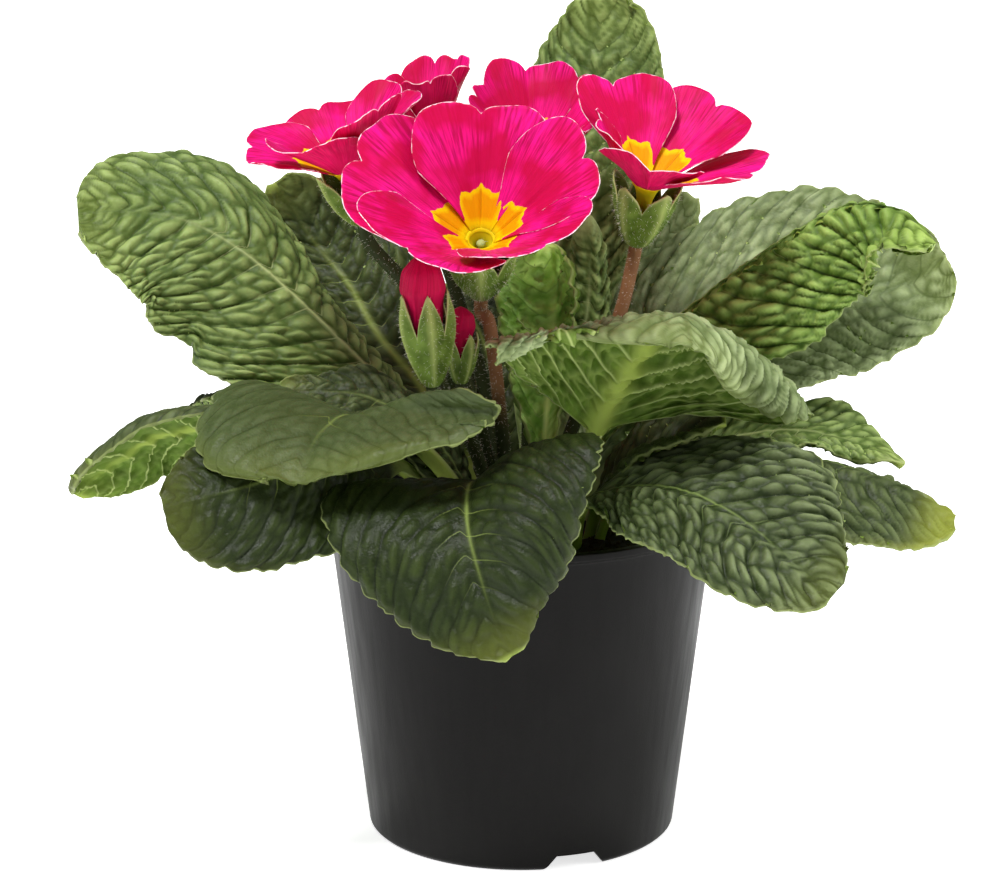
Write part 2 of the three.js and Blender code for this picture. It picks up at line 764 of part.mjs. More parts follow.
function pistilSolid(flower) {
  const foot = -CALYX_DEPTH + 1.4;
  const neck = -1.6;
  const top = -0.5;
  return turnedSolid(flower, [
    [0, foot],
    [STYLE_RADIUS, foot],
    [STYLE_RADIUS, neck],
    [STIGMA_RADIUS, neck + 0.4],
    [STIGMA_RADIUS, top - 0.3],
    [0, top],
  ], 6);
}

function stalkGeometry(flower) {
  return toGeometry(stalkSolid(flower).add(calyxSolid(flower)).add(pistilSolid(flower)));
}

// ---- Bud ---------------------------------------------------------------------------------------

function budStalkGeometry(bud) {
  return toGeometry(stalkSolid(bud).add(calyxSolid(bud)));
}

// Five petals rolled up in a slow spiral, in the calyx and standing out of it.
function budGeometry(bud) {
  const { scale, girth } = bud;
  const frame = faceFrame(bud.axis);
  const centre = vector(bud.centre);
  const sides = 15;
  const rings = BUD_OUTSIDE.map(([radius, height]) => Array.from({ length: sides }, (_, side) => {
    const angle = (2 * Math.PI * side) / sides;
    const reach = radius * (1 + BUD_LOBE * Math.cos(5 * angle)) * girth;
    return placeInFrame(frame, centre, angle + BUD_TWIST * height, reach, height * scale);
  }));
  return ringsGeometry(rings);
}

// ---- Pot and compost ---------------------------------------------------------------------------

const WALL_TOP_RADIUS = RIM_RADIUS - LIP_OVERHANG;
const wallRadius = (z) => THREE.MathUtils.lerp(BASE_RADIUS, WALL_TOP_RADIUS, z / POT_HEIGHT);
const FLOOR_TOP = FLOOR_UNDERSIDE + POT_WALL;

function turnedPot(profile) {
  const geometry = new THREE.LatheGeometry(profile.map(([r, z]) => new THREE.Vector2(r, z)), POT_SIDES);
  geometry.rotateX(Math.PI / 2);
  return toSolid(geometry);
}

function footNotchSolid(index) {
  const reach = 12;
  const halfBelow = NOTCH_WIDTH_BELOW / 2;
  const halfAbove = NOTCH_WIDTH_ABOVE / 2;
  const outline = [
    [-halfBelow, -1],
    [halfBelow, -1],
    [halfBelow, 0],
    [halfAbove, NOTCH_HEIGHT],
    [-halfAbove, NOTCH_HEIGHT],
    [-halfBelow, 0],
  ];
  const shape = new THREE.Shape(outline.map(([x, y]) => new THREE.Vector2(x, y)));
  const cutter = new THREE.ExtrudeGeometry(shape, { depth: reach, bevelEnabled: false });
  cutter.rotateX(Math.PI / 2);
  cutter.rotateZ(Math.PI);
  cutter.translate(0, BASE_RADIUS - (2 * reach) / 3, 0);
  cutter.rotateZ(radians(NOTCH_HEADING - 90 + (360 * index) / NOTCH_COUNT));
  return toSolid(cutter);
}

function drainSolid(index) {
  const sides = 12;
  const drill = new THREE.CylinderGeometry(DRAIN_RADIUS, DRAIN_RADIUS, 4 * POT_WALL, sides);
  drill.rotateX(Math.PI / 2);
  drill.translate(DRAIN_CIRCLE, 0, FLOOR_UNDERSIDE + POT_WALL / 2);
  drill.rotateZ((2 * Math.PI * index) / DRAIN_COUNT);
  return toSolid(drill);
}

function potGeometry() {
  const lipFrom = POT_HEIGHT - LIP_DEPTH;
  const wallTo = lipFrom - LIP_OVERHANG;
  const footInside = BASE_RADIUS - FOOT_WIDTH;
  let solid = turnedPot([
    [0, FLOOR_UNDERSIDE],
    [footInside - FOOT_SLOPE, FLOOR_UNDERSIDE],
    [footInside, 0],
    [BASE_RADIUS - FOOT_CHAMFER, 0],
    [wallRadius(FOOT_CHAMFER), FOOT_CHAMFER],
    [wallRadius(wallTo), wallTo],
    [RIM_RADIUS, lipFrom],
    [RIM_RADIUS, POT_HEIGHT - LIP_CHAMFER],
    [RIM_RADIUS - LIP_CHAMFER, POT_HEIGHT],
    [WALL_TOP_RADIUS - POT_WALL, POT_HEIGHT],
    [wallRadius(FLOOR_TOP + FLOOR_CORNER) - POT_WALL, FLOOR_TOP + FLOOR_CORNER],
    [wallRadius(FLOOR_TOP) - POT_WALL - FLOOR_CORNER, FLOOR_TOP],
    [0, FLOOR_TOP],
  ]);
  for (let index = 0; index < NOTCH_COUNT; index += 1) solid = solid.subtract(footNotchSolid(index));
  for (let index = 0; index < DRAIN_COUNT; index += 1) solid = solid.subtract(drainSolid(index));
  return toGeometry(solid);
}

// A blind hole that leans with the first stretch of the petiole or stalk in it.
function holeSolid(points, radius) {
  const path = smoothCurve(points);
  const foot = path.getPointAt(0);
  const buriedShare = 0.12;
  const ahead = path.getPointAt(buriedShare).sub(foot);
  const direction = ahead.divideScalar(ahead.z);
  const heights = [HOLE_FLOOR, SOIL_MIDDLE + 3];
  const sides = 6;
  const rings = heights.map((z) => Array.from({ length: sides }, (_, side) => {
    const angle = (2 * Math.PI * side) / sides;
    const middle = foot.clone().addScaledVector(direction, z - foot.z);
    return middle.add(new THREE.Vector3(Math.cos(angle) * radius, Math.sin(angle) * radius, 0));
  }));
  return toSolid(ringsGeometry(rings));
}

function soilGeometry() {
  const inside = (z) => wallRadius(z) - POT_WALL - GAP;
  const floor = FLOOR_TOP + GAP;
  const cornerTop = FLOOR_TOP + FLOOR_CORNER + GAP;
  let solid = turnedPot([
    [0, floor],
    [inside(FLOOR_TOP) - FLOOR_CORNER - GAP, floor],
    [inside(cornerTop), cornerTop],
    [inside(SOIL_EDGE), SOIL_EDGE],
    [inside(SOIL_EDGE) * 0.75, SOIL_SHOULDER],
    [inside(SOIL_EDGE) * 0.5, SOIL_MIDDLE],
    [0, SOIL_MIDDLE],
  ]);
  for (const { rib } of LEAVES) solid = solid.subtract(holeSolid(rib, LEAF_HOLE_RADIUS));
  for (const { stalk } of [...FLOWERS, ...BUDS]) {
    solid = solid.subtract(holeSolid(stalk, STALK_HOLE_RADIUS));
  }
  return toGeometry(solid);
}

// ---- The plant in its pot ----------------------------------------------------------------------

const plant = new THREE.Group();

function addPiece(name, geometry, look) {
  const mesh = new THREE.Mesh(geometry, new THREE.MeshStandardMaterial(COLOURS[look]));
  mesh.name = name;
  plant.add(mesh);
}

addPiece("pot", potGeometry(), "pot");
addPiece("soil", soilGeometry(), "soil");
for (const leaf of LEAVES) addPiece(leaf.name, leafGeometry(leaf), "leaf");
for (const flower of FLOWERS) {
  addPiece(`${flower.name}_stalk`, stalkGeometry(flower), "stalk");
  addPiece(`${flower.name}_corolla`, corollaGeometry(flower), "petal");
}
for (const bud of BUDS) {
  addPiece(`${bud.name}_stalk`, budStalkGeometry(bud), "stalk");
  addPiece(`${bud.name}_petals`, budGeometry(bud), "petal");
}

export default plant;
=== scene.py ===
"""A primrose in flower in its 9 cm nursery pot, dressed around its CAD frame.

The tables below give places in millimetres in the frame's own axes, +Z up, as the frame's solids have
them. Every finished mesh is in metres. A blade is worked out on a fine grid from the same rib, width,
fold and curl as its solid, and its puckers stand out along the surface's normal.
"""

from functools import partial
from math import cos, pi, radians, sin

import bpy
import numpy as np
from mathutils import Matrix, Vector


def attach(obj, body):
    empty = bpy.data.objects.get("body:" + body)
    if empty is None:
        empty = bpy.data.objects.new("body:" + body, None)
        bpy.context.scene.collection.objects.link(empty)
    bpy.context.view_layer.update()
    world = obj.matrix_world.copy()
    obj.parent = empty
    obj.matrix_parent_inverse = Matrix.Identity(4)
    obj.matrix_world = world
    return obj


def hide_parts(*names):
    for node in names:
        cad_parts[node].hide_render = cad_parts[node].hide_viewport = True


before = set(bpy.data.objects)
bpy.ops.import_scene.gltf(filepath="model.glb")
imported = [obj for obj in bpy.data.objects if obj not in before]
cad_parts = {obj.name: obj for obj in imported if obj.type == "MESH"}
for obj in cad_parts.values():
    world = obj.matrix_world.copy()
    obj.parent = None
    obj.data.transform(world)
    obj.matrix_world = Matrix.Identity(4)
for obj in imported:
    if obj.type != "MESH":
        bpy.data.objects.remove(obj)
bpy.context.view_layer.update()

MM = 0.001

# ---- Camera and floor, in millimetres and degrees ----------------------------------------------

CAMERA_DISTANCE = 800
CAMERA_ELEVATION = 14.43
CAMERA_TARGET = (-4.9, 0, 90.6)
IMAGE_WIDTH = 1000
FOCAL_PIXELS = 3533
SENSOR_WIDTH = 36
FLOOR_GLOW = 0.72
FLOOR_HALF = 6000

# ---- Pot and compost ---------------------------------------------------------------------------

POT_HEIGHT = 76
RIM_RADIUS = 45
BASE_RADIUS = 35
POT_WALL = 1.2
LIP_DEPTH = 1.6
LIP_OVERHANG = 0.8
FLOOR_UNDERSIDE = 3.6
FOOT_WIDTH = 2.4
FOOT_SLOPE = 1.2
FOOT_CHAMFER = 0.8
NOTCH_COUNT = 3
NOTCH_HEADING = -70
NOTCH_WIDTH_BELOW = 14.4
NOTCH_WIDTH_ABOVE = 9
NOTCH_HEIGHT = 3.4
DRAIN_COUNT = 6
DRAIN_RADIUS = 3.2
DRAIN_CIRCLE = 21
SOIL_EDGE = 67.5
SOIL_MIDDLE = 69
GAP = 0.3
POT_SIDES = 180
WALL_ROWS = 24
DRAIN_SIDES = 36
SOIL_SIDES = 150
SOIL_RINGS = 44
SOIL_CHAMFER = 1.8
SHARP_FROM = 35
CORNER_STEPS = 5
# By how much each corner of the pot's outline is rounded.
CORNER_EASE = {1: 0.4, 3: 0.3, 4: 0.5, 5: 0.5, 6: 0.25, 7: 0.35, 8: 0.3, 9: 1.5}

# ---- Leaves ------------------------------------------------------------------------------------
# heading: compass angle of the blade, in degrees from +X towards +Y.
# rib: points of the midrib, from inside the compost to the tip.
# width, fold, curl: one entry for each half of the blade, right and then left of the rib, seen from
# above with the tip away. fold is the angle by which the half is lifted at the rib, and curl is how
# much further it has turned at the margin. roll turns the whole blade about its rib.
# roll, fold and curl are lists in degrees at even steps from base to tip.
# wave: the margin's height, count and phase. ragged: how deep the bites in the margin are.
# blade: the parts of the length at which it starts and is widest, and how blunt it ends (tip and end).
# look: which of LEAF_GREENS it has. turned: it shows its upper skin on the lower side.
# pucker: height of its blisters. rib_width: width of the pale line on its rib. keel: width of the ridge
# under its rib. All three are shares of the usual. fade: how yellow the tip is.
# grid: rows and columns, and how many of them one line of the underside's grid spans.

PETIOLE_HALF_WIDTH = 2.1
KEEL_AT_BASE = 1.9
KEEL_AT_TIP = 0.3
MARGIN_SWEEP = 0.056
VEIN_SPACING = 7.2
CELL_LENGTH = 5.2
BLISTER_HEIGHT = 1.25
WRINKLE_HEIGHT = 0.12
WRINKLE_LENGTH = 1.3
DRIFT_HEIGHT = 1.1
DRIFT_LENGTH = 17
MARGIN_TURN = -0.9
MIDRIB_HEIGHT = 0.3
TOOTH_SPACING = 2.9
TOOTH_DEPTH = 0.6
LOBE_DEPTH = 0.9
BLADE_THICKNESS = 0.5
VEIN_RIDGE = 0.8
NET_RIDGE = 0.4
FIRST_LEAF_SEED = 100

LARGE = (240, 120, 2)
SHOWN = (200, 100, 2)
SHOWN_BELOW = (180, 90, 1)
MIDDLE = (140, 70, 2)
BEHIND = (110, 56, 2)
TINY = (90, 36, 2)

LEAF_USUAL = dict(roll=[0], curl=([0], [0]), wave=(1, 3, 0), ragged=0.8, pucker=1, rib_width=1, keel=1,
                  fade=0.1, turned=False)

LEAVES = {
    "leaf_01_upper_left": dict(
        heading=168,
        rib=[(-9, 2, 60), (-16, 3, 80), (-26, 5, 97), (-38.5, 8, 109.5), (-52, 12, 122), (-64, 15, 131.5),
             (-76, 18, 137.5), (-88, 18.5, 139.5), (-101, 17, 139)],
        width=(27, 28), roll=[-30, -50, -55, -45],
        fold=([-25, -20, 22], [10, 0, 0]), curl=([-130, -115, -45], [0, 10]), wave=(1.2, 4, 0),
        blade=dict(start=0.2, widest=0.64, tip=2.6), look="mature", ragged=3, grid=LARGE),
    "leaf_02_left_inner": dict(
        heading=190,
        rib=[(-9, -3, 60), (-12, -6, 80), (-20, -9, 94), (-33, -9, 102.5), (-45, -8, 104), (-54, -6, 103)],
        width=(11, 12), roll=[0, -20, -30], fold=([10], [0]), curl=([0], [-30]), wave=(1.2, 4, 0),
        blade=dict(start=0.2, widest=0.5), look="olive", grid=BEHIND),
    "leaf_03_back_left": dict(
        heading=136,
        rib=[(-7, 6, 60), (-13, 11, 80), (-22, 18, 97), (-33, 27.5, 108.5), (-40.5, 36.6, 119),
             (-47, 43, 125.5), (-52.5, 46, 132.5), (-58, 48, 141)],
        width=(20, 12.5), roll=[-30, -40], fold=([10], [0]), wave=(1, 3, 1),
        blade=dict(start=0.2, widest=0.6), look="shaded", rib_width=1.7, grid=MIDDLE),
    "leaf_04_front_left": dict(
        heading=248,
        rib=[(-9, -12, 60), (-13, -15, 80), (-24, -20, 95), (-37, -27, 103), (-43, -36, 102),
             (-46, -44, 98.5), (-47, -50, 94)],
        width=(30, 42), fold=([17], [18]), curl=([-20], [-15]), wave=(0.6, 3, 0),
        blade=dict(start=0.55, widest=0.72, tip=3.2, end=0.42), look="slate", pucker=0.25, grid=SHOWN),
    "leaf_05_low_left": dict(
        heading=205,
        rib=[(-14, -7, 60), (-18, -11, 79), (-26, -19, 90), (-37, -30, 94), (-48, -39, 94), (-58, -44, 92),
             (-68, -47, 90), (-77, -46, 87)],
        width=(17, 20), roll=[0, -35, -62, -62, -60], fold=([-12], [5]), curl=([-20], [0]), wave=(1, 2, 0),
        blade=dict(start=0.38, widest=0.7, tip=2.6, end=0.42), look="deep", pucker=0.5, grid=MIDDLE),
    "leaf_06_far_left": dict(
        heading=185,
        rib=[(-15.5, 0, 60), (-21, 0, 78), (-36, -3, 90), (-58, -9, 96.5), (-79, -13, 96), (-89, -15, 91),
             (-96, -16, 86), (-99, -16, 82)],
        width=(14, 17), roll=[0, 50, 60], fold=([0], [0]), curl=([0], [-60]), wave=(1, 2, 0),
        blade=dict(start=0.3, widest=0.66), look="olive", pucker=0.4, grid=MIDDLE),
    "leaf_07_front": dict(
        heading=262,
        rib=[(-2, -15.5, 60), (-4, -20, 77), (-7, -29, 88), (-11, -42, 92), (-12, -50, 90), (-11.5, -58, 85),
             (-9, -64, 77), (-6, -68, 69), (-2, -70, 62)],
        width=(33, 33), fold=([0], [50, 48, 20]), curl=([-12], [-50]), wave=(1, 2, 0),
        blade=dict(start=0.22, widest=0.54, tip=1.6, end=0.7), look="deep", pucker=0.5, fade=0.15,
        grid=SHOWN),
    "leaf_08_arched_front": dict(
        heading=290,
        rib=[(5, -10, 60), (10, -14, 78), (14, -16.5, 90), (17, -18.5, 100), (21, -21, 109), (27, -25, 119),
             (32, -31, 126.5), (35, -39, 128), (36, -47, 123.5)],
        width=(46, 42), fold=([10, 4], [35, 20, -30]), curl=([-32], [-60, -60, -45]),
        blade=dict(start=0.42, widest=0.7, tip=3), look="dusty", keel=2.2, grid=SHOWN_BELOW),
    "leaf_09_low_right": dict(
        heading=312,
        rib=[(11, -11, 60), (12, -15, 76), (16, -21, 84), (27, -30, 88.5), (37, -41, 89.5), (47, -50, 86),
             (56.5, -57, 79.5), (65.5, -60, 72)],
        width=(21, 25), roll=[0, 18, 20], fold=([0], [5]),
        blade=dict(start=0.2, widest=0.62), look="waxy", pucker=1.15, rib_width=0.45, grid=SHOWN),
    "leaf_10_far_right": dict(
        heading=345,
        rib=[(15, -5, 60), (19, -7, 76), (30, -14, 87), (48, -18, 92), (64, -20, 92), (74, -22, 90),
             (85, -23, 86), (96, -22, 79)],
        width=(23, 20), roll=[0, 25, 30], fold=([0], [-52]),
        blade=dict(start=0.3, widest=0.66), look="olive", fade=0.5, grid=MIDDLE),
    "leaf_11_right_folded": dict(
        heading=0,
        rib=[(15.5, 2, 60), (19, 1, 77), (28, -1.5, 86), (45, -4, 92), (60, -5, 94.5), (71, -6, 93),
             (80, -8, 90.5), (85, -10, 87)],
        width=(8, 12), fold=([-12], [20]), curl=([0], [20]), wave=(1.5, 4, 0),
        blade=dict(start=0.3, widest=0.66), look="mature", grid=BEHIND),
    "leaf_12_back_right": dict(
        heading=18,
        rib=[(14, 7, 60), (16, 9, 80), (22, 12, 97), (38, 17, 107), (56, 21, 114.5), (71, 24, 118),
             (87, 24, 122), (97, 21, 129)],
        width=(22, 31), roll=[30, 50], fold=([5], [5]),
        blade=dict(start=0.12, widest=0.66), look="dusty", pucker=0.8, grid=MIDDLE),
    "leaf_13_right_rolled": dict(
        heading=5,
        rib=[(9, 2, 60), (12, 2, 80), (17, 2, 98), (30, 2, 115), (44, 3, 127), (58, 4, 137), (73, 3, 145),
             (85, 0, 144), (92, -5, 137)],
        width=(25, 22), fold=([-50], [-50, -50, -25]), curl=([-20], [-20]), wave=(1.5, 4, 0),
        blade=dict(start=0.16, widest=0.66, tip=2.6), look="bright", pucker=1.7, grid=SHOWN_BELOW),
    "leaf_14_back_upright": dict(
        heading=85,
        rib=[(2, 9, 60), (3, 13, 85), (6, 21, 115), (11, 30, 145), (15, 39, 166), (16.5, 44, 178),
             (16, 46, 185)],
        width=(20, 14), fold=([15], [15]),
        blade=dict(start=0.12, widest=0.74, tip=2.6, end=0.45), look="mature", grid=MIDDLE),
    "leaf_15_back_right_upright": dict(
        heading=55,
        rib=[(7, 10, 60), (9, 18.3, 85), (13, 29.6, 101), (22, 40, 117), (33, 47, 129), (41, 50, 137)],
        width=(14, 14), fold=([15], [15]),
        blade=dict(start=0.3, widest=0.66), look="silver", pucker=0.8, grid=BEHIND),
    "leaf_16_centre_bright": dict(
        heading=270,
        rib=[(4, -4, 60), (5, -4, 85), (6, -5, 105), (7, -5, 118), (7, -5, 128), (5, -2, 136)],
        width=(15, 7), fold=([10], [10]), curl=([-60], [-80]), wave=(0.6, 4, 0),
        blade=dict(start=0.3, widest=0.82, tip=3), look="fresh", pucker=1.8, turned=True, grid=TINY),
    "leaf_17_centre_dark": dict(
        heading=60,
        rib=[(6, 3, 60), (9, 3, 85), (13, 3, 108), (15, 3, 122), (15, 4, 134), (13, 6, 142)],
        width=(7, 7), roll=[30], fold=([10], [10]), curl=([-60], [-60]), wave=(0.6, 4, 0),
        blade=dict(start=0.3, widest=0.65), look="mature", pucker=1.6, grid=TINY),
    "leaf_18_inner_right": dict(
        heading=330,
        rib=[(12.5, -3.5, 60), (18, -6.6, 79), (27, -11, 90), (37, -14.5, 96), (45, -16.5, 98.5)],
        width=(9.5, 13), fold=([10], [45]), curl=([-20], [-10]), wave=(0.6, 3, 0),
        blade=dict(start=0.2, widest=0.7), look="shaded", grid=TINY),
    "leaf_19_low_back": dict(
        heading=105,
        rib=[(-2, 15.5, 60), (-3.5, 20, 80), (-6, 28, 98), (-10.5, 38, 109), (-16, 50, 114), (-21, 62, 112)],
        width=(13, 15), fold=([10], [10]), wave=(1.2, 3, 0),
        blade=dict(start=0.08, widest=0.66), look="shaded", grid=BEHIND),
    "leaf_20_low_back_right": dict(
        heading=50,
        rib=[(10, 12, 60), (15, 18, 80), (25, 30, 94), (38, 45, 99), (50, 58, 95), (57, 66, 88)],
        width=(22, 22), fold=([8], [8]), wave=(1.2, 3, 0),
        blade=dict(start=0.25, widest=0.66), look="mature", grid=BEHIND),
    "leaf_21_low_back_left": dict(
        heading=150,
        rib=[(-13, 8, 60), (-19, 12, 79), (-34, 21, 91), (-52, 32, 95), (-68, 42, 92), (-77, 48, 85)],
        width=(20, 20), fold=([8], [-25, 8]), wave=(1.2, 3, 0),
        blade=dict(start=0.1, widest=0.66), look="deep", grid=BEHIND),
}

# ---- Flowers and buds --------------------------------------------------------------------------
# centre: middle of the throat. axis: the way the flower faces. stalk: its points up to the calyx.
# petals: lift at the throat, lift at the edge, share of the full radius, half the angle that the petal
# spans, the first at the upper side and then round to the left. frill: height of the waves in the edges.
# scale, girth: length and width of the calyx as shares of the usual. tooth: height of its teeth. cup: how
# far its mouth is raised. hug: how far it closes on the petals. ruddy: 1 if the stalk reddens upwards.

FLOWER_USUAL = dict(frill=0.9, scale=1, girth=1, tooth=5.2, cup=1, hug=0, ruddy=0)

# 1 where a petal lies over the next one, or -1.
ABOVE = (-1, 1, 1, 1, 1)

FLOWERS = {
    "flower_1": dict(
        centre=(-9, -28, 142), axis=(0, -0.609, 0.793), radius=31,
        petals=[(38, 38, 1, 53), (34, 34, 1.13, 50), (42, 42, 1.2, 52), (46, 42, 1.14, 52),
                (44, 40, 1.07, 49)],
        frill=0.6, scale=1.36, girth=1.12, ruddy=1,
        stalk=[(-2, -5, 60), (-4, -10, 90), (-7, -18, 120)]),
    "flower_2": dict(
        centre=(-38.5, -7, 153.5), axis=(-0.27, -0.16, 0.95), radius=24,
        petals=[(34, 34, 1, 50), (28, 26, 1, 50), (40, 22, 1, 52), (44, 40, 0.95, 56), (46, 50, 1, 50)],
        stalk=[(-5, -1, 60), (-10, -3, 90), (-22, -7, 122)]),
    "flower_3": dict(
        centre=(-22, 22, 154), axis=(-0.1, 0, 0.99), radius=23,
        petals=[(62, 62, 1, 50), (60, 60, 1.05, 50), (58, 58, 0.85, 50), (58, 58, 0.8, 50),
                (62, 62, 0.95, 50)],
        stalk=[(-3, 3.5, 60), (-6, 8, 90), (-14, 16, 118)]),
    "flower_4": dict(
        centre=(3, 10, 152.5), axis=(0.05, -0.3, 0.95), radius=25.5,
        petals=[(46, 46, 1, 50), (50, 50, 0.9, 50), (50, 50, 0.9, 50), (50, 50, 0.9, 50),
                (48, 48, 0.95, 50)],
        stalk=[(1.5, 4.5, 60), (1.5, 8, 90), (3, 11, 120)]),
    "flower_5": dict(
        centre=(27.5, -8, 150.5), axis=(0.15, -0.25, 0.95), radius=28,
        scale=1.14, girth=1.08, tooth=4.2, cup=1.6, ruddy=1,
        petals=[(42, 42, 1, 50), (50, 54, 0.8, 46), (40, 36, 0.9, 50), (30, 24, 1, 50), (38, 36, 1, 50)],
        stalk=[(2.5, -0.5, 60), (10, -2, 90), (21, -4, 118)]),
}

BUDS = {
    "bud_1": dict(
        centre=(-21, -32, 128), axis=(-0.09, -0.05, 0.99),
        scale=1.35, girth=0.9, tooth=6.2, cup=1.4, hug=0.22,
        stalk=[(-5.5, -7.5, 60), (-9, -16, 88), (-17, -28, 108)]),
    "bud_2": dict(
        centre=(-13.5, -21, 119), axis=(0, 0.05, 0.99),
        scale=0.8, girth=0.6, tooth=6, cup=0, hug=0.22,
        stalk=[(-5, -4.5, 60), (-7, -9, 86), (-12, -18, 106)]),
}

THROAT_RADIUS = 2.4
TUBE_LENGTH = 10.6
TUBE_RADIUS = 1.8
TUBE_BORE = 1.1
PETAL_OVERLAP = 1.3
PETAL_RUFFLE = 0.8
PETAL_THICKNESS = 0.35
PETAL_TURN = 72
PETAL_GRID = (32, 44)
FRILL_SEED_STEP = 20
PLEAT_HEIGHT = 0.32
FINE_PLEAT_HEIGHT = 0.12
CREASE_DEPTH = 0.5
AWAY_FROM_STAR = 18.0
AWAY_FROM_HEM = 9.0
STALK_RADIUS = 1.5
THIN_STALK_RADIUS = 1.2
STALK_GRID = (60, 20)
STALK_STRAIGHT = 5
STALK_SUNK = 0.6
# Heights over which a ruddy stalk turns from dark green, partly painted shade, to reddish brown.
RUDDY_HEIGHTS = (95, 112)
CALYX_DEPTH = 13
CALYX_MOUTH = -4.6
CALYX_TEETH = 5
CALYX_WALL = 0.5
CALYX_FLOOR = -11.5
CALYX_RIDGE = 0.09
CALYX_GRID = (18, 60)
BUD_GRID = (40, 60)
TUBE_SIDES = 40
PISTIL_SIDES = 16
FIRST_FLOWER_SEED = 300

# Profiles: pairs of height from the throat and radius.
CALYX_PROFILE = ((-13, 1.6), (-12.4, 2.6), (-11.2, 3.4), (-8.2, 5), (-4.6, 6.2), (-0.2, 6.9))
TUBE_PROFILE = (
    (-TUBE_LENGTH, TUBE_BORE), (-TUBE_LENGTH, TUBE_RADIUS), (-3.4, TUBE_RADIUS), (-1.6, TUBE_RADIUS + 0.5),
    (-0.4, THROAT_RADIUS + 0.5), (0.25, THROAT_RADIUS + 1.1), (0.62, THROAT_RADIUS + 0.9),
    (0.5, THROAT_RADIUS + 0.3), (-0.1, TUBE_BORE + 1.3), (-0.7, TUBE_BORE + 0.9), (-1.5, TUBE_BORE + 0.5),
    (-2.6, TUBE_BORE))
PISTIL_PROFILE = ((-11.6, 0.05), (-11.6, 0.45), (-1.7, 0.45), (-1.4, 0.85), (-0.95, 1.05), (-0.5, 0.8),
                  (-0.35, 0.35))
BUD_PROFILE = ((-10.4, 0.6), (-9.6, 2.2), (-5.5, 3.4), (-1, 4.3), (3, 4.6), (6.5, 3.8), (8, 2.2), (8.6, 0.4))

# ---- Hairs and crumbs --------------------------------------------------------------------------

HAIRS = {"Density": 0.9 / MM ** 2, "Length": 0.9 * MM, "Thickness": 0.045 * MM,
         "Least upward": -2.0, "Seed": 11}
CRUMBS = {"Density": 0.17 / MM ** 2, "Length": 1 * MM, "Thickness": 0.75 * MM,
          "Least upward": 0.6, "Seed": 4}


# ---- Numbers -----------------------------------------------------------------------------------

def smooth(low, high, x):
    """0 below low and 1 above high, eased between them."""
    share = np.clip((x - low) / (high - low), 0, 1)
    return share * share * (3 - 2 * share)


def bell(x, width):
    """1 at 0, falling to about a third at width and soon to nothing."""
    return np.exp(-(x / width) ** 2)


def value_along(values, t):
    """The value at t, from 0 to 1, of a list of values at even steps, eased between them."""
    values = np.array(values, float)
    if len(values) == 1:
        return np.full(np.shape(t), values[0])
    place = np.clip(t, 0, 1) * (len(values) - 1)
    index = np.minimum(place.astype(int), len(values) - 2)
    ease = smooth(0, 1, place - index)
    return values[index] * (1 - ease) + values[index + 1] * ease


def lattice_draw(column, row, seed):
    """A fixed draw from 0 to 1 for each square of a lattice."""
    column, row = column.astype(np.int64), row.astype(np.int64)
    mixed = (column * 374761393 + row * 668265263 + seed * 974711) & 0xFFFFFFFF
    mixed = ((mixed ^ (mixed >> 13)) * 1274126177) & 0xFFFFFFFF
    return ((mixed ^ (mixed >> 16)) & 0xFFFF) / 65535


def soft_noise(x, y, seed):
    """Smooth noise from -1 to 1 with one swing for each unit of x and y."""
    column, row = np.floor(x), np.floor(y)
    across, up = smooth(0, 1, x - column), smooth(0, 1, y - row)
    corners = [[lattice_draw(column + i, row + j, seed) for i in (0, 1)] for j in (0, 1)]
    low = corners[0][0] * (1 - across) + corners[0][1] * across
    high = corners[1][0] * (1 - across) + corners[1][1] * across
    return 2 * (low * (1 - up) + high * up) - 1


def cell_distances(x, y, seed, spread=0.42):
    """Distances to the nearest and the second nearest of one scattered point for each unit square."""
    column, row = np.floor(x), np.floor(y)
    found = []
    for i in (-1, 0, 1):
        for j in (-1, 0, 1):
            along = column + i + 0.5 + spread * (2 * lattice_draw(column + i, row + j, seed) - 1)
            up = row + j + 0.5 + spread * (2 * lattice_draw(column + i, row + j, seed + 7) - 1)
            found.append(np.hypot(along - x, up - y))
    nearest = np.sort(np.stack(found), axis=0)
    return nearest[0], nearest[1]


def smooth_path(points, t):
    """Points at the shares t of the length of a smooth curve through the given points, and its length."""
    given = np.array(points, float)
    given = np.vstack([2 * given[0] - given[1], given, 2 * given[-1] - given[-2]])
    x = np.linspace(0, 1, 24, endpoint=False)[:, None]
    spans = []
    for before, start, end, after in zip(given, given[1:], given[2:], given[3:]):
        spans.append(0.5 * (2 * start + (end - before) * x
                            + (2 * before - 5 * start + 4 * end - after) * x ** 2
                            + (3 * start - before - 3 * end + after) * x ** 3))
    line = np.vstack([*spans, given[-2:-1]])
    run = np.r_[0, np.cumsum(np.linalg.norm(np.diff(line, axis=0), axis=1))]
    place = np.clip(t, 0, 1) * run[-1]
    return np.stack([np.interp(place, run, line[:, axis]) for axis in range(3)], -1), run[-1]


def path_tangent(points, t, step=0.01):
    """Directions of length 1 along the smooth curve."""
    return unit(smooth_path(points, t + step)[0] - smooth_path(points, t - step)[0])


def unit(vectors):
    """Vectors of length 1."""
    return vectors / np.linalg.norm(vectors, axis=-1, keepdims=True)


def grid_normals(points):
    """Normals of a grid of points, whose rows run along u and columns along v."""
    return unit(np.cross(np.gradient(points, axis=0), np.gradient(points, axis=1)))


# ---- Meshes ------------------------------------------------------------------------------------

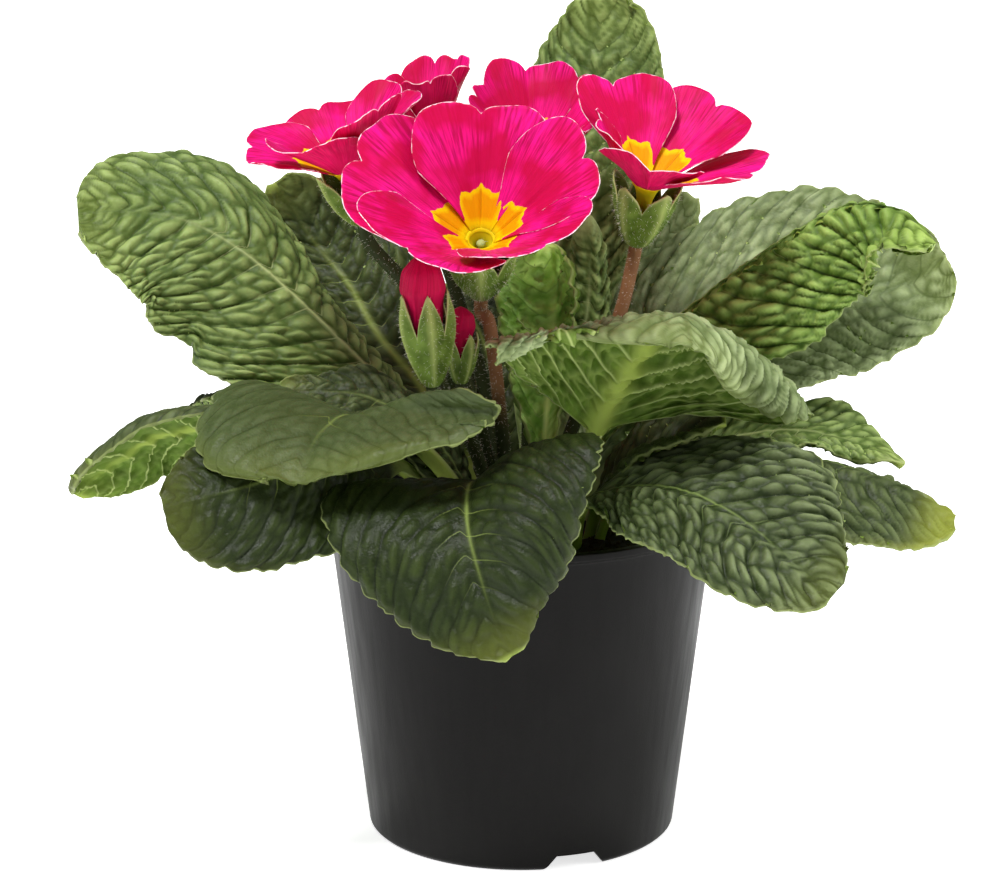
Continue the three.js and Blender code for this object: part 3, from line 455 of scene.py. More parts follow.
def new_piece(name, points, faces, materials, face_material=None, attributes=None):
    """An object with its place, in millimetres in points, in its mesh."""
    mesh = bpy.data.meshes.new(name)
    mesh.from_pydata((np.asarray(points) * MM).tolist(), [], faces)
    for material in materials:
        mesh.materials.append(material)
    if face_material is not None:
        mesh.polygons.foreach_set("material_index", face_material)
    mesh.polygons.foreach_set("use_smooth", [True] * len(mesh.polygons))
    for label, values in (attributes or {}).items():
        values = np.asarray(values, np.float32)
        mesh.attributes.new(label, "FLOAT", "POINT").data.foreach_set("value", values)
    mesh.update()
    piece = bpy.data.objects.new(name, mesh)
    bpy.context.scene.collection.objects.link(piece)
    return piece


def sheet_faces(rows, columns, step):
    """Faces of a closed thin sheet: its upper grid, its lower grid with a line for every step of the
    upper ones, and the wall round the edge. Also each face's material: 1 below and 0 elsewhere."""
    upper = lambda row, column: row * (columns + 1) + column
    first = (rows + 1) * (columns + 1)
    lower = lambda row, column: first + (row // step) * (columns // step + 1) + column // step
    faces = [[upper(r, c), upper(r + 1, c), upper(r + 1, c + 1), upper(r, c + 1)]
             for r in range(rows) for c in range(columns)]
    slots = [0] * len(faces)
    faces += [[lower(r, c), lower(r, c + step), lower(r + step, c + step), lower(r + step, c)]
              for r in range(0, rows, step) for c in range(0, columns, step)]
    slots += [1] * (len(faces) - len(slots))
    edge = ([(r, 0) for r in range(rows)] + [(rows, c) for c in range(columns)]
            + [(r, columns) for r in range(rows, 0, -1)] + [(0, c) for c in range(columns, -1, -1)])
    for place in range(0, len(edge) - 1, step):
        a, b = edge[place], edge[place + step]
        if step == 1:
            faces.append([upper(*a), lower(*a), lower(*b), upper(*b)])
            continue
        middle = edge[place + 1]
        faces.append([upper(*a), lower(*a), upper(*middle)])
        faces.append([upper(*middle), lower(*a), lower(*b)])
        faces.append([upper(*middle), lower(*b), upper(*b)])
    slots += [0] * (len(faces) - len(slots))
    return faces, slots


def sheet_parts(above, below, step, values):
    """Points, faces, their materials and point values of a closed sheet from its two grids of points."""
    rows, columns = above.shape[0] - 1, above.shape[1] - 1
    faces, slots = sheet_faces(rows, columns, step)
    points = np.vstack([above.reshape(-1, 3), below[::step, ::step].reshape(-1, 3)])
    attributes = {label: np.r_[value.ravel(), value[::step, ::step].ravel()]
                  for label, value in values.items()}
    return points, faces, slots, attributes


def ring_angles(sides):
    """Angles at even steps round a circle."""
    return 2 * pi * np.arange(sides) / sides


def ring_walls(count, sides):
    """Faces between each of count rings of points and the next one."""
    return [[low + corner, low + (corner + 1) % sides,
             low + sides + (corner + 1) % sides, low + sides + corner]
            for low in range(0, (count - 1) * sides, sides) for corner in range(sides)]


def fan(middle, first, sides, turn=1):
    """Faces from a middle point to the ring of points that starts at first. turn is -1 for the low end."""
    return [[middle, *(first + corner, first + (corner + 1) % sides)[::turn]] for corner in range(sides)]


def capped(rings, ends=None, paired=True):
    """Points and faces of a shape closed at both ends, from its rings of points and the point in the
    middle of each end. paired: whether the faces of the two ends take turns in the list, on which the
    places of the hairs depend."""
    sides = len(rings[0])
    ends = [rings[0].mean(0), rings[-1].mean(0)] if ends is None else ends
    last = (len(rings) - 1) * sides
    low, high = fan(last + sides, 0, sides, -1), fan(last + sides + 1, last, sides)
    caps = [face for pair in zip(low, high) for face in pair] if paired else low + high
    return np.vstack([*rings, *ends]), ring_walls(len(rings), sides) + caps


def joined(parts):
    """One list of points and faces from several."""
    points, faces, start = [], [], 0
    for some_points, some_faces in parts:
        points.append(some_points)
        faces += [[start + corner for corner in face] for face in some_faces]
        start += len(some_points)
    return np.vstack(points), faces


# ---- Materials ---------------------------------------------------------------------------------

def linear(code):
    """Linear colour from an sRGB hex value."""
    levels = [int(code[place:place + 2], 16) / 255 for place in (1, 3, 5)]
    return (*[x / 12.92 if x <= 0.04045 else ((x + 0.055) / 1.055) ** 2.4 for x in levels], 1)


# Nodes that come often: type, inputs in order, output and settings.
NODES = {
    "place": ("ShaderNodeTexCoord", None, "Object", {}),
    "attribute": ("ShaderNodeAttribute", None, "Fac", {}),
    "bump": ("ShaderNodeBump", ("Height", "Strength", "Distance"), 0, {}),
    "shader": ("ShaderNodeBsdfPrincipled", None, 0, {}),
    "surface": ("ShaderNodeOutputMaterial", ("Surface",), None, {}),
    "random": ("FunctionNodeRandomValue", None, 0, dict(data_type="FLOAT_VECTOR")),
    "times": ("ShaderNodeMath", (0, 1), 0, dict(operation="MULTIPLY")),
    "plus": ("ShaderNodeMath", (0, 1), 0, dict(operation="ADD")),
    "minus": ("ShaderNodeMath", (0, 1), 0, dict(operation="SUBTRACT")),
    "range": ("ShaderNodeMapRange", (0, 1, 2, 3, 4), 0, {}),
    "mix": ("ShaderNodeMix", (0, 6, 7), 2, dict(data_type="RGBA")),
    "noise": ("ShaderNodeTexNoise", ("Vector", "Scale", "Detail"), 0, {}),
}


def add_node(tree, kind, *values, **settings):
    """A new node. kind is one of NODES, with its inputs' values in order or in a dict, and its output
    comes back. Or kind is a type with a dict of inputs, and the node comes back. An input is a value, or
    the output that feeds it."""
    node_type, labels, output, usual = NODES.get(kind, (kind, None, None, {}))
    made = tree.nodes.new(node_type)
    for name, value in {**usual, **settings}.items():
        setattr(made, name, value)
    inputs = dict(zip(labels, values)) if labels else dict(*values)
    for key, value in inputs.items():
        if isinstance(value, bpy.types.NodeSocket):
            tree.links.new(value, made.inputs[key])
        else:
            made.inputs[key].default_value = value
    return made if output is None else made.outputs[output]


def new_material(name, recipe, *given):
    """A material of one shader. recipe gives the shader's inputs, with the function that adds nodes."""
    material = bpy.data.materials.new(name)
    material.use_nodes = True
    material.node_tree.nodes.clear()
    add = partial(add_node, material.node_tree)
    add("surface", add("shader", recipe(add, *given)))
    return material


def layered(add, skin, *layers):
    """A colour with others laid over it, each with the share by which it covers those below. A colour
    is an sRGB hex value, or the output that feeds it."""
    ready = lambda colour: linear(colour) if isinstance(colour, str) else colour
    for share, colour in layers:
        skin = add("mix", share, ready(skin), ready(colour))
    return skin


def per_mm(size):
    """Pattern scale on metre coordinates for a pattern that repeats every size millimetres."""
    return 1 / (size * MM)


LEAF_MARGIN = "#8f9b5e"
# For each look, as sRGB hex values: the furrows, whose dark green is painted shade, the low ground, the
# blisters, whose light green is a painted highlight on their tops, and the veins.
LEAF_GREENS = {
    "mature": ("#2f4315", "#4c6229", "#95a864", "#aab77a"),
    "bright": ("#314a12", "#567428", "#a0ba62", "#9db164"),
    # The deep greens are partly the leaves' own dark tone and partly painted shade for low leaves that face
    # away from the light.
    "deep": ("#0e1704", "#1a240b", "#303c16", "#7f9048"),
    "slate": ("#28350f", "#38461e", "#56633e", "#84964c"),
    "dusty": ("#42522a", "#5f6f40", "#a0ae7e", "#a9b578"),
    "olive": ("#1c270e", "#303c1c", "#5f6b42", "#74854a"),
    "waxy": ("#17220a", "#2b3817", "#707c54", "#74854a"),
    "silver": ("#4a5c2e", "#748650", "#c0cf9c", "#b4c283"),
    # These greens are partly a young leaf's brighter green and partly painted light, which lifts a blade
    # that lies in the shade of the first flower.
    "fresh": ("#3a6012", "#6c9a30", "#b8dc76", "#b8cc70"),
    "shaded": ("#1a240b", "#2e3918", "#535f34", "#8b9c4a"),
}


def line_of(add, coordinate, half_width):
    """1 where a coordinate passes a whole number, falling to 0 within half_width of it."""
    away = add("ShaderNodeMath", {0: coordinate, 1: 0.5}, operation="PINGPONG").outputs[0]
    return add("ShaderNodeMapRange", {0: away, 1: 0, 2: half_width, 3: 1, 4: 0},
               interpolation_type="SMOOTHSTEP").outputs[0]


def leaf_upper(add, look):
    """Upper skin of a primrose leaf: a puckered, faintly waxy green with a painted highlight on the tops of
    its blisters and painted shade in the furrows between them and along the lateral veins, with a pale
    rib and a thin light margin."""
    furrow_shade_green, low_green, blister_highlight_green, vein_green = LEAF_GREENS[look]
    place = add("place")
    strip, seam, depth, crown, vein, rib, edge, fade = [
        add("attribute", attribute_name=label)
        for label in ("strip", "net", "depth", "crown", "vein", "rib", "edge", "fade")]
    blotch = add("noise", place, per_mm(2.2), 3)
    # A painted highlight on the tops of the blisters, broken by a random mottle.
    light = add("plus", crown, add("times", blotch, 0.7))
    skin = layered(
        add, low_green,
        (add("range", light, 0.42, 1.25, 0, 1), blister_highlight_green),
        (add("range", add("noise", place, per_mm(17), 2), 0.42, 0.62, 0.38, 0), low_green),
        # Painted shade: the dark furrow colour in the net between the blisters and along the lateral veins.
        (add("times", seam, 0.4), furrow_shade_green),
        (add("times", add("times", line_of(add, strip, 0.07), depth), 0.6), furrow_shade_green),
        (add("times", add("times", line_of(add, strip, 0.04), vein), 0.6), vein_green),
        (rib, vein_green), (fade, "#a3ab3a"),
        (add("range", edge, -0.35, -0.08, 0, 0.6), LEAF_MARGIN))
    grain = add("ShaderNodeTexVoronoi", {"Vector": place, "Scale": per_mm(0.9)},
                feature="SMOOTH_F1").outputs["Distance"]
    height = add("plus", grain, add("noise", place, per_mm(0.45), 2))
    return {
        "Base Color": skin, "Roughness": add("range", blotch, 0.3, 0.7, 0.4, 0.55),
        "Normal": add("bump", height, 0.7, 0.14 * MM), "IOR": 1.4, "Specular IOR Level": 0.25,
        "Subsurface Weight": 0.08, "Subsurface Radius": (0.6, 1, 0.2), "Subsurface Scale": 0.5 * MM}


def leaf_underside(add):
    """Underside of a primrose leaf: a matt, yellower green than above, with a raised net of pale downy
    veins."""
    place = add("place")
    strip, vein, keel, net, edge, fade = [
        add("attribute", attribute_name=label)
        for label in ("strip", "depth", "keel", "net", "edge", "fade")]
    skin = layered(
        add, "#3c5312",
        (add("range", add("noise", place, per_mm(3), 3), 0.3, 0.7, 0, 1), "#5b7826"),
        (add("times", net, 0.5), "#8fa355"),
        (add("times", add("times", line_of(add, strip, 0.085), vein), 0.85), "#a9b872"),
        (keel, "#98ab4c"), (fade, "#a0a834"),
        (add("range", edge, -0.35, -0.08, 0, 0.6), LEAF_MARGIN))
    down = add("noise", place, per_mm(0.4), 2)
    return {
        "Base Color": skin, "Roughness": 0.65, "Normal": add("bump", down, 0.5, 0.1 * MM), "IOR": 1.4,
        "Specular IOR Level": 0.2, "Subsurface Weight": 0.12, "Subsurface Radius": (0.6, 1, 0.2),
        "Subsurface Scale": 0.6 * MM}


# How far the yellow star reaches from the axis, in millimetres, for the share of a petal's half width.
STAR_REACH = ((0, 13.2), (0.06, 12.4), (0.18, 11.9), (0.3, 11.2), (0.4, 11.4), (0.52, 11.7), (0.6, 11.1),
              (0.66, 10.1), (0.73, 9.3), (0.8, 7.8), (0.87, 6.4), (0.94, 5.8), (1, 5.8))
STAR_SPAN = 15
STAR_SHIFT = {"face": 0, "back": -9, "bud": -9}
# Glow, streaks and clouds of the petals' face and back, and of the buds. The clouds are painted shade.
PETAL_PINKS = {
    "face": ("#f01688", "#9c083a", "#bd0840"),
    # Painted light: the back's pinks are lighter than the reverse's own, for petals that turn away from the
    # lamps.
    "back": ("#ee1a68", "#b80c40", "#d0104c"),
    # Painted shade: the buds' pinks are darker where the buds sit under the flowers.
    "bud": ("#c40c48", "#7c0628", "#a00838"),
}


def petal_skin(add, side_shown):
    """Satin petal of a primrose: saturated magenta with fine darker streaks that fan out from the throat,
    a thin broken white hem, and an orange star edged with yellow round a greenish throat."""
    place = add("place")
    reach, side, margin = [add("attribute", attribute_name=label) for label in ("reach", "side", "margin")]
    rays = add("ShaderNodeCombineXYZ", {0: side, 1: add("times", reach, 0.004)}).outputs[0]
    fine = add("ShaderNodeTexNoise", {"Vector": rays, "Scale": 36, "Detail": 2, "Roughness": 0.6}).outputs[0]
    streak = add("plus", add("times", fine, 0.6), add("times", add("noise", rays, 11, 1), 0.4))
    outward = add("range", reach, 7, 24, 0.35, 1)
    glow, deep, shade = PETAL_PINKS[side_shown]
    pink = layered(
        add, glow,
        (add("times", add("range", streak, 0.43, 0.6, 0, 0.85), outward), deep),
        # Painted shade, laid in soft random clouds.
        (add("range", add("noise", place, per_mm(9), 2), 0.37, 0.6, 0, 0.9), shade))

    offset = add("ShaderNodeMath", {0: side}, operation="ABSOLUTE").outputs[0]
    outline = add("ShaderNodeFloatCurve", {"Value": offset})
    points = outline.mapping.curves[0].points
    for place_on_side, share in STAR_REACH[1:-1]:
        points.new(place_on_side, share / STAR_SPAN)
    points[0].location = (0, STAR_REACH[0][1] / STAR_SPAN)
    points[len(STAR_REACH) - 1].location = (1, STAR_REACH[-1][1] / STAR_SPAN)
    for point in points:
        point.handle_type = "VECTOR"
    outline.mapping.update()
    nibble = add("times", add("plus", add("noise", place, per_mm(1.3), 2), -0.5), 1.1)
    inside = add("minus", add("times", outline.outputs[0], STAR_SPAN), reach)
    inside = add("plus", add("plus", inside, nibble), STAR_SHIFT[side_shown])
    in_orange = add("times", add("range", inside, 0.9, 1.8, 0, 1), add("range", reach, 4.6, 5.8, 0, 1))
    in_orange = add("times", in_orange, add("range", offset, 0.6, 0.78, 1, 0))
    orange = layered(add, "#e79e03", (add("range", offset, 0, 0.04, 0.7, 0), "#b87004"))
    star = layered(add, "#f0cb06", (in_orange, orange), (add("range", reach, 2.2, 4.4, 1, 0), "#c4b81c"))
    from_margin = add("plus", margin, add("times", add("noise", place, per_mm(1.6), 2), 0.7))
    skin = layered(
        add, pink,
        (add("range", inside, 0, 0.22, 0, 1), star),
        (add("range", from_margin, 0.34, 0.46, 1, 0), "#fbd6e1"))
    return {
        "Base Color": skin, "Roughness": 0.5, "Normal": add("bump", streak, 0.6, 0.35 * MM), "IOR": 1.35,
        "Specular IOR Level": 0.12, "Subsurface Weight": 0.12, "Subsurface Radius": (1, 0.15, 0.4),
        "Subsurface Scale": 0.8 * MM}


def calyx_skin(add):
    """Calyx of a primrose on its stalk: a thin green cup with paler keels, light along its teeth, on a
    reddish brown stalk that turns dark green lower down, partly as painted shade where it stands among the
    leaves, all with a soft down."""
    place = add("place")
    keel, edge, stem, ruddy = [
        add("attribute", attribute_name=label) for label in ("keel", "edge", "stem", "ruddy")]
    mottle = add("noise", place, per_mm(3), 3)
    # The stalk's dark green is partly its own colour and partly painted shade where stalks stand deep among
    # the leaves.
    stalk = layered(add, "#2c3516", (ruddy, layered(add, "#6e442a", (mottle, "#8f6c48"))))
    skin = layered(
        add, "#425816",
        (add("range", mottle, 0.3, 0.7, 0, 1), "#6d8636"),
        (add("times", keel, 0.75), "#a0ae62"), (edge, "#aab474"), (stem, stalk))
    down = add("noise", place, per_mm(0.3), 2)
    return {
        "Base Color": skin, "Roughness": 0.6, "Normal": add("bump", down, 0.4, 0.08 * MM), "IOR": 1.4,
        "Specular IOR Level": 0.25, "Subsurface Weight": 0.12, "Subsurface Radius": (0.7, 1, 0.3),
        "Subsurface Scale": 0.6 * MM}


def white_down(add):
    """White down of a primrose's stalks: hairs too fine to show a pattern, which catch the light with a
    soft sheen."""
    return {"Base Color": linear("#d9d6c4"), "Roughness": 0.6, "Sheen Weight": 0.3}


def pot_plastic(add):
    """Thermoformed polypropylene: near black and satin, drawn down over its mould, so that faint upright
    streaks and a fine grain break up its broad soft reflections."""
    place = add("place")
    drawn = add("ShaderNodeMapping", {"Vector": place, "Scale": (1, 1, 0.06)}).outputs[0]
    streak = add("noise", drawn, per_mm(2.2), 3)
    dust = add("range", add("noise", place, per_mm(18), 4), 0.45, 0.75, 0, 0.5)
    height = add("plus", streak, add("noise", place, per_mm(0.35), 2))
    return {
        "Base Color": layered(add, "#0b0a09", (dust, "#11100f")),
        "Roughness": add("range", streak, 0.3, 0.7, 0.36, 0.48),
        "Normal": add("bump", height, 0.25, 0.12 * MM), "IOR": 1.49, "Specular IOR Level": 0.1}


def compost(add, low, high):
    """Moist peat compost: almost black, matt and crumbly, with brown fibres."""
    clod = add("noise", add("place"), per_mm(2.5), 6)
    return {
        "Base Color": layered(add, low, (clod, high)), "Roughness": 0.9,
        "Normal": add("bump", clod, 0.8, 0.4 * MM), "Specular IOR Level": 0.2}


def floor_paint(add):
    """White acrylic sheet of a studio table, faintly lit from below, so that shadows on it stay pale."""
    mottle = add("noise", add("place"), per_mm(300), 2)
    return {
        "Base Color": layered(add, "#f8f8f7", (mottle, "#fbfbfa")), "Roughness": 0.8,
        "Specular IOR Level": 0.1, "Emission Color": linear("#ffffff"), "Emission Strength": FLOOR_GLOW}


# ---- Repeats by Geometry Nodes -----------------------------------------------------------------

def scatter_tree(name, cone):
    """A tree that scatters short hairs (cones) or crumbs (lumps) over a surface and joins them to it."""
    tree = bpy.data.node_groups.new(name, "GeometryNodeTree")
    add = partial(add_node, tree)
    sockets = tree.interface
    sockets.new_socket("Geometry", in_out="INPUT", socket_type="NodeSocketGeometry")
    for label in ("Density", "Length", "Thickness", "Least upward"):
        sockets.new_socket(label, in_out="INPUT", socket_type="NodeSocketFloat")
    sockets.new_socket("Seed", in_out="INPUT", socket_type="NodeSocketInt")
    sockets.new_socket("Material", in_out="INPUT", socket_type="NodeSocketMaterial")
    sockets.new_socket("Geometry", in_out="OUTPUT", socket_type="NodeSocketGeometry")
    given = add("NodeGroupInput").outputs
    normal = add("GeometryNodeInputNormal").outputs[0]
    up = add("ShaderNodeSeparateXYZ", {0: normal}).outputs[2]
    facing = add("FunctionNodeCompare", {0: up, 1: given["Least upward"]},
                 operation="GREATER_THAN").outputs[0]
    spread = add("GeometryNodeDistributePointsOnFaces", {
        "Mesh": given["Geometry"], "Selection": facing, "Density": given["Density"], "Seed": given["Seed"]})
    if cone:
        shape = add("GeometryNodeMeshCone", {
            "Vertices": 3, "Radius Bottom": given["Thickness"], "Depth": given["Length"]}).outputs["Mesh"]
        tilt = add("random", {0: (-0.6, -0.6, 0), 1: (0.6, 0.6, 6), "Seed": 3})
        size = add("random", {0: (0.6, 0.6, 0.4), 1: (1, 1, 1.2), "Seed": 5})
    else:
        shape = add("GeometryNodeMeshIcoSphere", {
            "Radius": given["Thickness"], "Subdivisions": 1}).outputs["Mesh"]
        tilt = add("random", {0: (-3, -3, -3), 1: (3, 3, 3), "Seed": 3})
        size = add("random", {0: (0.4, 0.3, 0.3), 1: (1.5, 1, 0.9), "Seed": 5})
    turned = add("FunctionNodeRotateRotation", {
        "Rotation": spread.outputs["Rotation"], "Rotate By": tilt}, rotation_space="LOCAL").outputs[0]
    placed = add("GeometryNodeInstanceOnPoints", {
        "Points": spread.outputs["Points"], "Instance": shape, "Rotation": turned, "Scale": size}).outputs[0]
    real = add("GeometryNodeRealizeInstances", {0: placed}).outputs[0]
    dressed = add("GeometryNodeSetMaterial", {
        "Geometry": real, "Material": given["Material"]}).outputs[0]
    both = add("GeometryNodeJoinGeometry")
    tree.links.new(dressed, both.inputs[0])
    tree.links.new(given["Geometry"], both.inputs[0])
    add("NodeGroupOutput", {0: both.outputs[0]})
    return tree


def keep_result(piece, modifier):
    """Puts the mesh that a modifier makes in place of the piece's own."""
    bpy.context.view_layer.update()
    graph = bpy.context.evaluated_depsgraph_get()
    mesh = bpy.data.meshes.new_from_object(piece.evaluated_get(graph))
    piece.modifiers.remove(modifier)
    piece.data = mesh


def grow(piece, tree, **values):
    """Runs a tree on a piece, with values for its named inputs."""
    modifier = piece.modifiers.new("scatter", "NODES")
    modifier.node_group = tree
    for item in tree.interface.items_tree:
        if item.in_out == "INPUT" and item.name in values:
            modifier[item.identifier] = values[item.name]
    keep_result(piece, modifier)


# ---- Leaf --------------------------------------------------------------------------------------

def half_width(t, width, start, widest, tip=2, end=0.5):
    """Half the blade's width at the shares t of its length."""
    rise = np.sin(np.clip((t - start) / (widest - start), 0, 1) * pi / 2) ** 1.25
    fall = np.clip((t - widest) / (1 - widest), 0, 1) * 0.985
    return np.where(t < widest, PETIOLE_HALF_WIDTH + (width - PETIOLE_HALF_WIDTH) * rise,
                    width * (1 - fall ** tip) ** end)


def blade_points(leaf, u, v):
    """Points of the blade's middle sheet, their shares of the rib, and the width and the rib's length in
    millimetres."""
    q = np.abs(v)
    t = np.clip(u + MARGIN_SWEEP * q * np.sin(pi * u), 0, 1)
    point, length = smooth_path(leaf["rib"], t)
    tangent = path_tangent(leaf["rib"], t)
    across = radians(leaf["heading"] + 90)
    level = np.array([cos(across), sin(across), 0])
    side = unit(level - (tangent @ level)[..., None] * tangent)
    face = np.cross(tangent, side)
    roll = np.radians(value_along(leaf["roll"], t))[..., None]
    turned_side = side * np.cos(roll) + face * np.sin(roll)
    turned_face = face * np.cos(roll) - side * np.sin(roll)
    pick = lambda pair: np.where(v < 0, pair[0], pair[1])
    width = pick([half_width(t, width, **leaf["blade"]) for width in leaf["width"]])
    fold = np.radians(pick([value_along(values, t) for values in leaf["fold"]]))
    curl = np.radians(pick([value_along(values, t) for values in leaf["curl"]]))
    curl = np.where(np.abs(curl) < 1e-4, 1e-4, curl)
    out = width * (np.sin(fold + curl * q) - np.sin(fold)) / curl
    bend = -width * (np.cos(fold + curl * q) - np.cos(fold)) / curl
    height, count, phase = leaf["wave"]
    grown = np.clip((t - 0.25) / 0.3, 0, 1)
    bend = bend + height * q * q * grown * np.sin(2 * pi * count * t + phase + pick((1.3, 0)))
    point = point + turned_side * (np.sign(v) * out)[..., None] + turned_face * bend[..., None]
    return point, t, width, length


def leaf_piece(name, leaf, seed, materials):
    """A blade with its petiole, as one closed sheet. Lateral veins leave the rib on both sides and sweep
    towards the tip. A net of smaller veins divides the strips between them, and each cell of the net
    stands up as a blister. Seen from below the same veins stand out as ridges."""
    rows, columns, step = leaf["grid"]
    start = leaf["blade"]["start"]
    petiole_rows = rows // 10
    u = np.r_[np.linspace(0, start, petiole_rows, endpoint=False),
              np.linspace(start, 1, rows + 1 - petiole_rows)]
    u, v = np.meshgrid(u, np.linspace(-1, 1, columns + 1), indexing="ij")
    _, t, width, length = blade_points(leaf, u, v)
    # A small leaf has finer veins, cells, blisters and teeth than a large one.
    size = max(leaf["width"])
    spacing = VEIN_SPACING * min(1, 0.45 + size / 45)
    q = np.abs(v)
    along, aside = t * length, q * width
    grown = smooth(start + 0.02, start + 0.14, t) * smooth(2.5, 6, width)

    # The left half draws its cells and swells from another place than the right one.
    half = 500 * (v < 0)
    sway = (0.28 * soft_noise(along / 15, v * 2 + 3, seed)
            + 0.05 * soft_noise(along / 4.5, v * 7 + 9, seed + 1))
    lean = 0.5 * aside + 0.5 * aside * q
    strip = (along - lean) / spacing + sway + 0.45 * (v < 0) * smooth(0, 2, aside)
    within = strip - np.floor(strip)
    from_lateral = np.minimum(within, 1 - within) * spacing * 0.8
    across_strip = np.sin(pi * within) ** 0.6
    cell_length = CELL_LENGTH * min(1, 0.55 + size / 55) * (1 - 0.25 * q)
    cell_x = strip * 2 + 0.22 * soft_noise(aside / 4, strip * 1.7, seed + 5)
    cell_y = aside / cell_length + 0.45 * soft_noise(aside / 7 + 0.02 * half, strip * 1.1, seed + 6)
    near, second = cell_distances(cell_x + half, cell_y, seed + 7, 0.4)
    seam = second - near
    dome = smooth(0, 0.75, seam) ** 0.75
    swell = 0.85 + 0.45 * soft_noise(aside / 4.2 + 0.1 * half, strip * 1.6 + 7, seed + 8)

    margin_lobe = smooth(0.72, 1, q) * (1 - smooth(0, 0.3, np.minimum(within, 1 - within))) * grown
    tooth_phase = along / TOOTH_SPACING + 0.4 * soft_noise(along / 5, v, seed + 9)
    tooth = smooth(0.86, 1, q) * (0.5 - 0.5 * np.cos(2 * pi * tooth_phase)) * smooth(start, start + 0.1, t)
    tooth = tooth * (0.6 + 0.5 * soft_noise(along / 4, v + 5, seed + 10))
    bites = soft_noise(along / 9, 1.5 * np.sign(v) + 20, seed + 15)
    ragged = leaf["ragged"] * smooth(0.55, 1, q) * smooth(-0.35, 0.5, bites) * grown
    cut = min(1, 0.1 + size / 28)
    inset = cut * (LOBE_DEPTH * margin_lobe + TOOTH_DEPTH * tooth + ragged) / np.maximum(width, 9)
    base, _, _, _ = blade_points(leaf, u, v * (1 - inset))

    # Blisters and ridges stand along the normal of the sheet with its margin cut.
    near_rib = bell(aside, 1.3 + 1.2 * (1 - t))
    contrast = min(1, 0.25 + 0.75 * leaf["pucker"])
    pucker = (BLISTER_HEIGHT * leaf["pucker"] * min(1, 0.35 + size / 28) * grown
              * (1 - 0.6 * smooth(0.84, 1, q)) * (1 - 0.6 * smooth(0.86, 1, t)))
    relief = (0.5 * across_strip + 0.5 * (1 - np.exp(-from_lateral / 0.45))
              + 0.95 * dome * swell * (0.45 + 0.55 * across_strip))
    wrinkle = WRINKLE_HEIGHT * soft_noise(
        along / WRINKLE_LENGTH, aside / WRINKLE_LENGTH + 0.1 * half, seed + 11)
    relief = pucker * ((relief - 1.3) * (1 - 0.85 * near_rib) - 0.5 * near_rib + wrinkle)
    drift = (DRIFT_HEIGHT * soft_noise(along / DRIFT_LENGTH, v * 1.6 + 11, seed + 13)
             * smooth(0.1, 0.5, q) * grown)
    turn_down = MARGIN_TURN * smooth(0.86, 1, q) ** 2 * grown
    rib_ridge = MIDRIB_HEIGHT * bell(aside, 0.5 + 0.5 * (1 - t)) * grown
    normal = grid_normals(base)
    above = base + normal * (relief + drift + turn_down + rib_ridge)[..., None]

    keel = KEEL_AT_BASE * (1 - np.sqrt(t)) + KEEL_AT_TIP * np.sqrt(t)
    in_petiole = 1 - smooth(2.3, 5, width)
    round_keel = np.sqrt(np.maximum(1 - q ** 2, 0))
    blade_keel = bell(aside, (0.8 + 1.2 * (1 - t)) * leaf["keel"])
    net = 1 - smooth(0, 0.42, seam)
    vein_ridge = VEIN_RIDGE * bell(from_lateral, 0.55) * (1 - 0.6 * q) * grown
    net_ridge = NET_RIDGE * net * grown
    thickness = BLADE_THICKNESS - 0.2 * smooth(0.8, 1, q)
    thickness = thickness + keel * (in_petiole * round_keel + (1 - in_petiole) * blade_keel)
    thickness = thickness + vein_ridge + net_ridge
    below = above - normal * thickness[..., None]

    # What the skins need to know of each point.
    rib_width = leaf["rib_width"] * (0.25 + 0.45 * (1 - t))
    tip_part = smooth(0.87, 1, t) + 0.5 * smooth(0.85, 1, q) * smooth(0.7, 0.95, t)
    # crown places the upper skin's painted highlight on the blisters' tops, and net its painted shade in the
    # furrows between them.
    crown = np.clip(0.2 * across_strip + 0.8 * dome * swell, 0, 1) * (1 - 0.5 * near_rib)
    values = dict(
        strip=strip, net=net * grown * contrast, depth=grown,
        crown=0.5 + contrast * (crown - 0.5),
        vein=(1 - smooth(1.5, 0.3 * size, aside)) * grown * (1 - smooth(0.7, 0.9, t)),
        rib=np.maximum(bell(aside, rib_width) * (1 - smooth(0.55, 0.95, t)), in_petiole),
        keel=np.maximum(blade_keel * (1 - smooth(0.8, 1, t)), in_petiole),
        edge=aside - width,
        fade=leaf["fade"] * np.clip(tip_part, 0, 1),
    )
    points, faces, slots, attributes = sheet_parts(above, below, step, values)
    return new_piece(f"{name}_blade", points, faces, materials, slots, attributes)


# ---- Flower ------------------------------------------------------------------------------------

def face_frame(axis):
    """The way a flower faces, and the two directions that span its face."""
    out = unit(np.array(axis, float))
    up = unit(np.array([0, 0, 1.0]) - out[2] * out)
    return out, up, np.cross(up, out)


def place_in_frame(axes, centre, angle, radius, height):
    """Points at an angle from the upper side, a radius and a height on a flower's axis."""
    out, up, right = axes
    turn = angle + pi / 2
    return (np.array(centre, float) + right * (np.cos(turn) * radius)[..., None]
            + up * (np.sin(turn) * radius)[..., None] + out * height[..., None])


def flower_rings(flower, profile, sides):
    """Rings of points round a flower's axis, from pairs of height and radius."""
    axes, angles = face_frame(flower["axis"]), ring_angles(sides)
    return [place_in_frame(axes, flower["centre"], angles, np.full(sides, float(radius)),
                           np.full(sides, float(height))) for height, radius in profile]


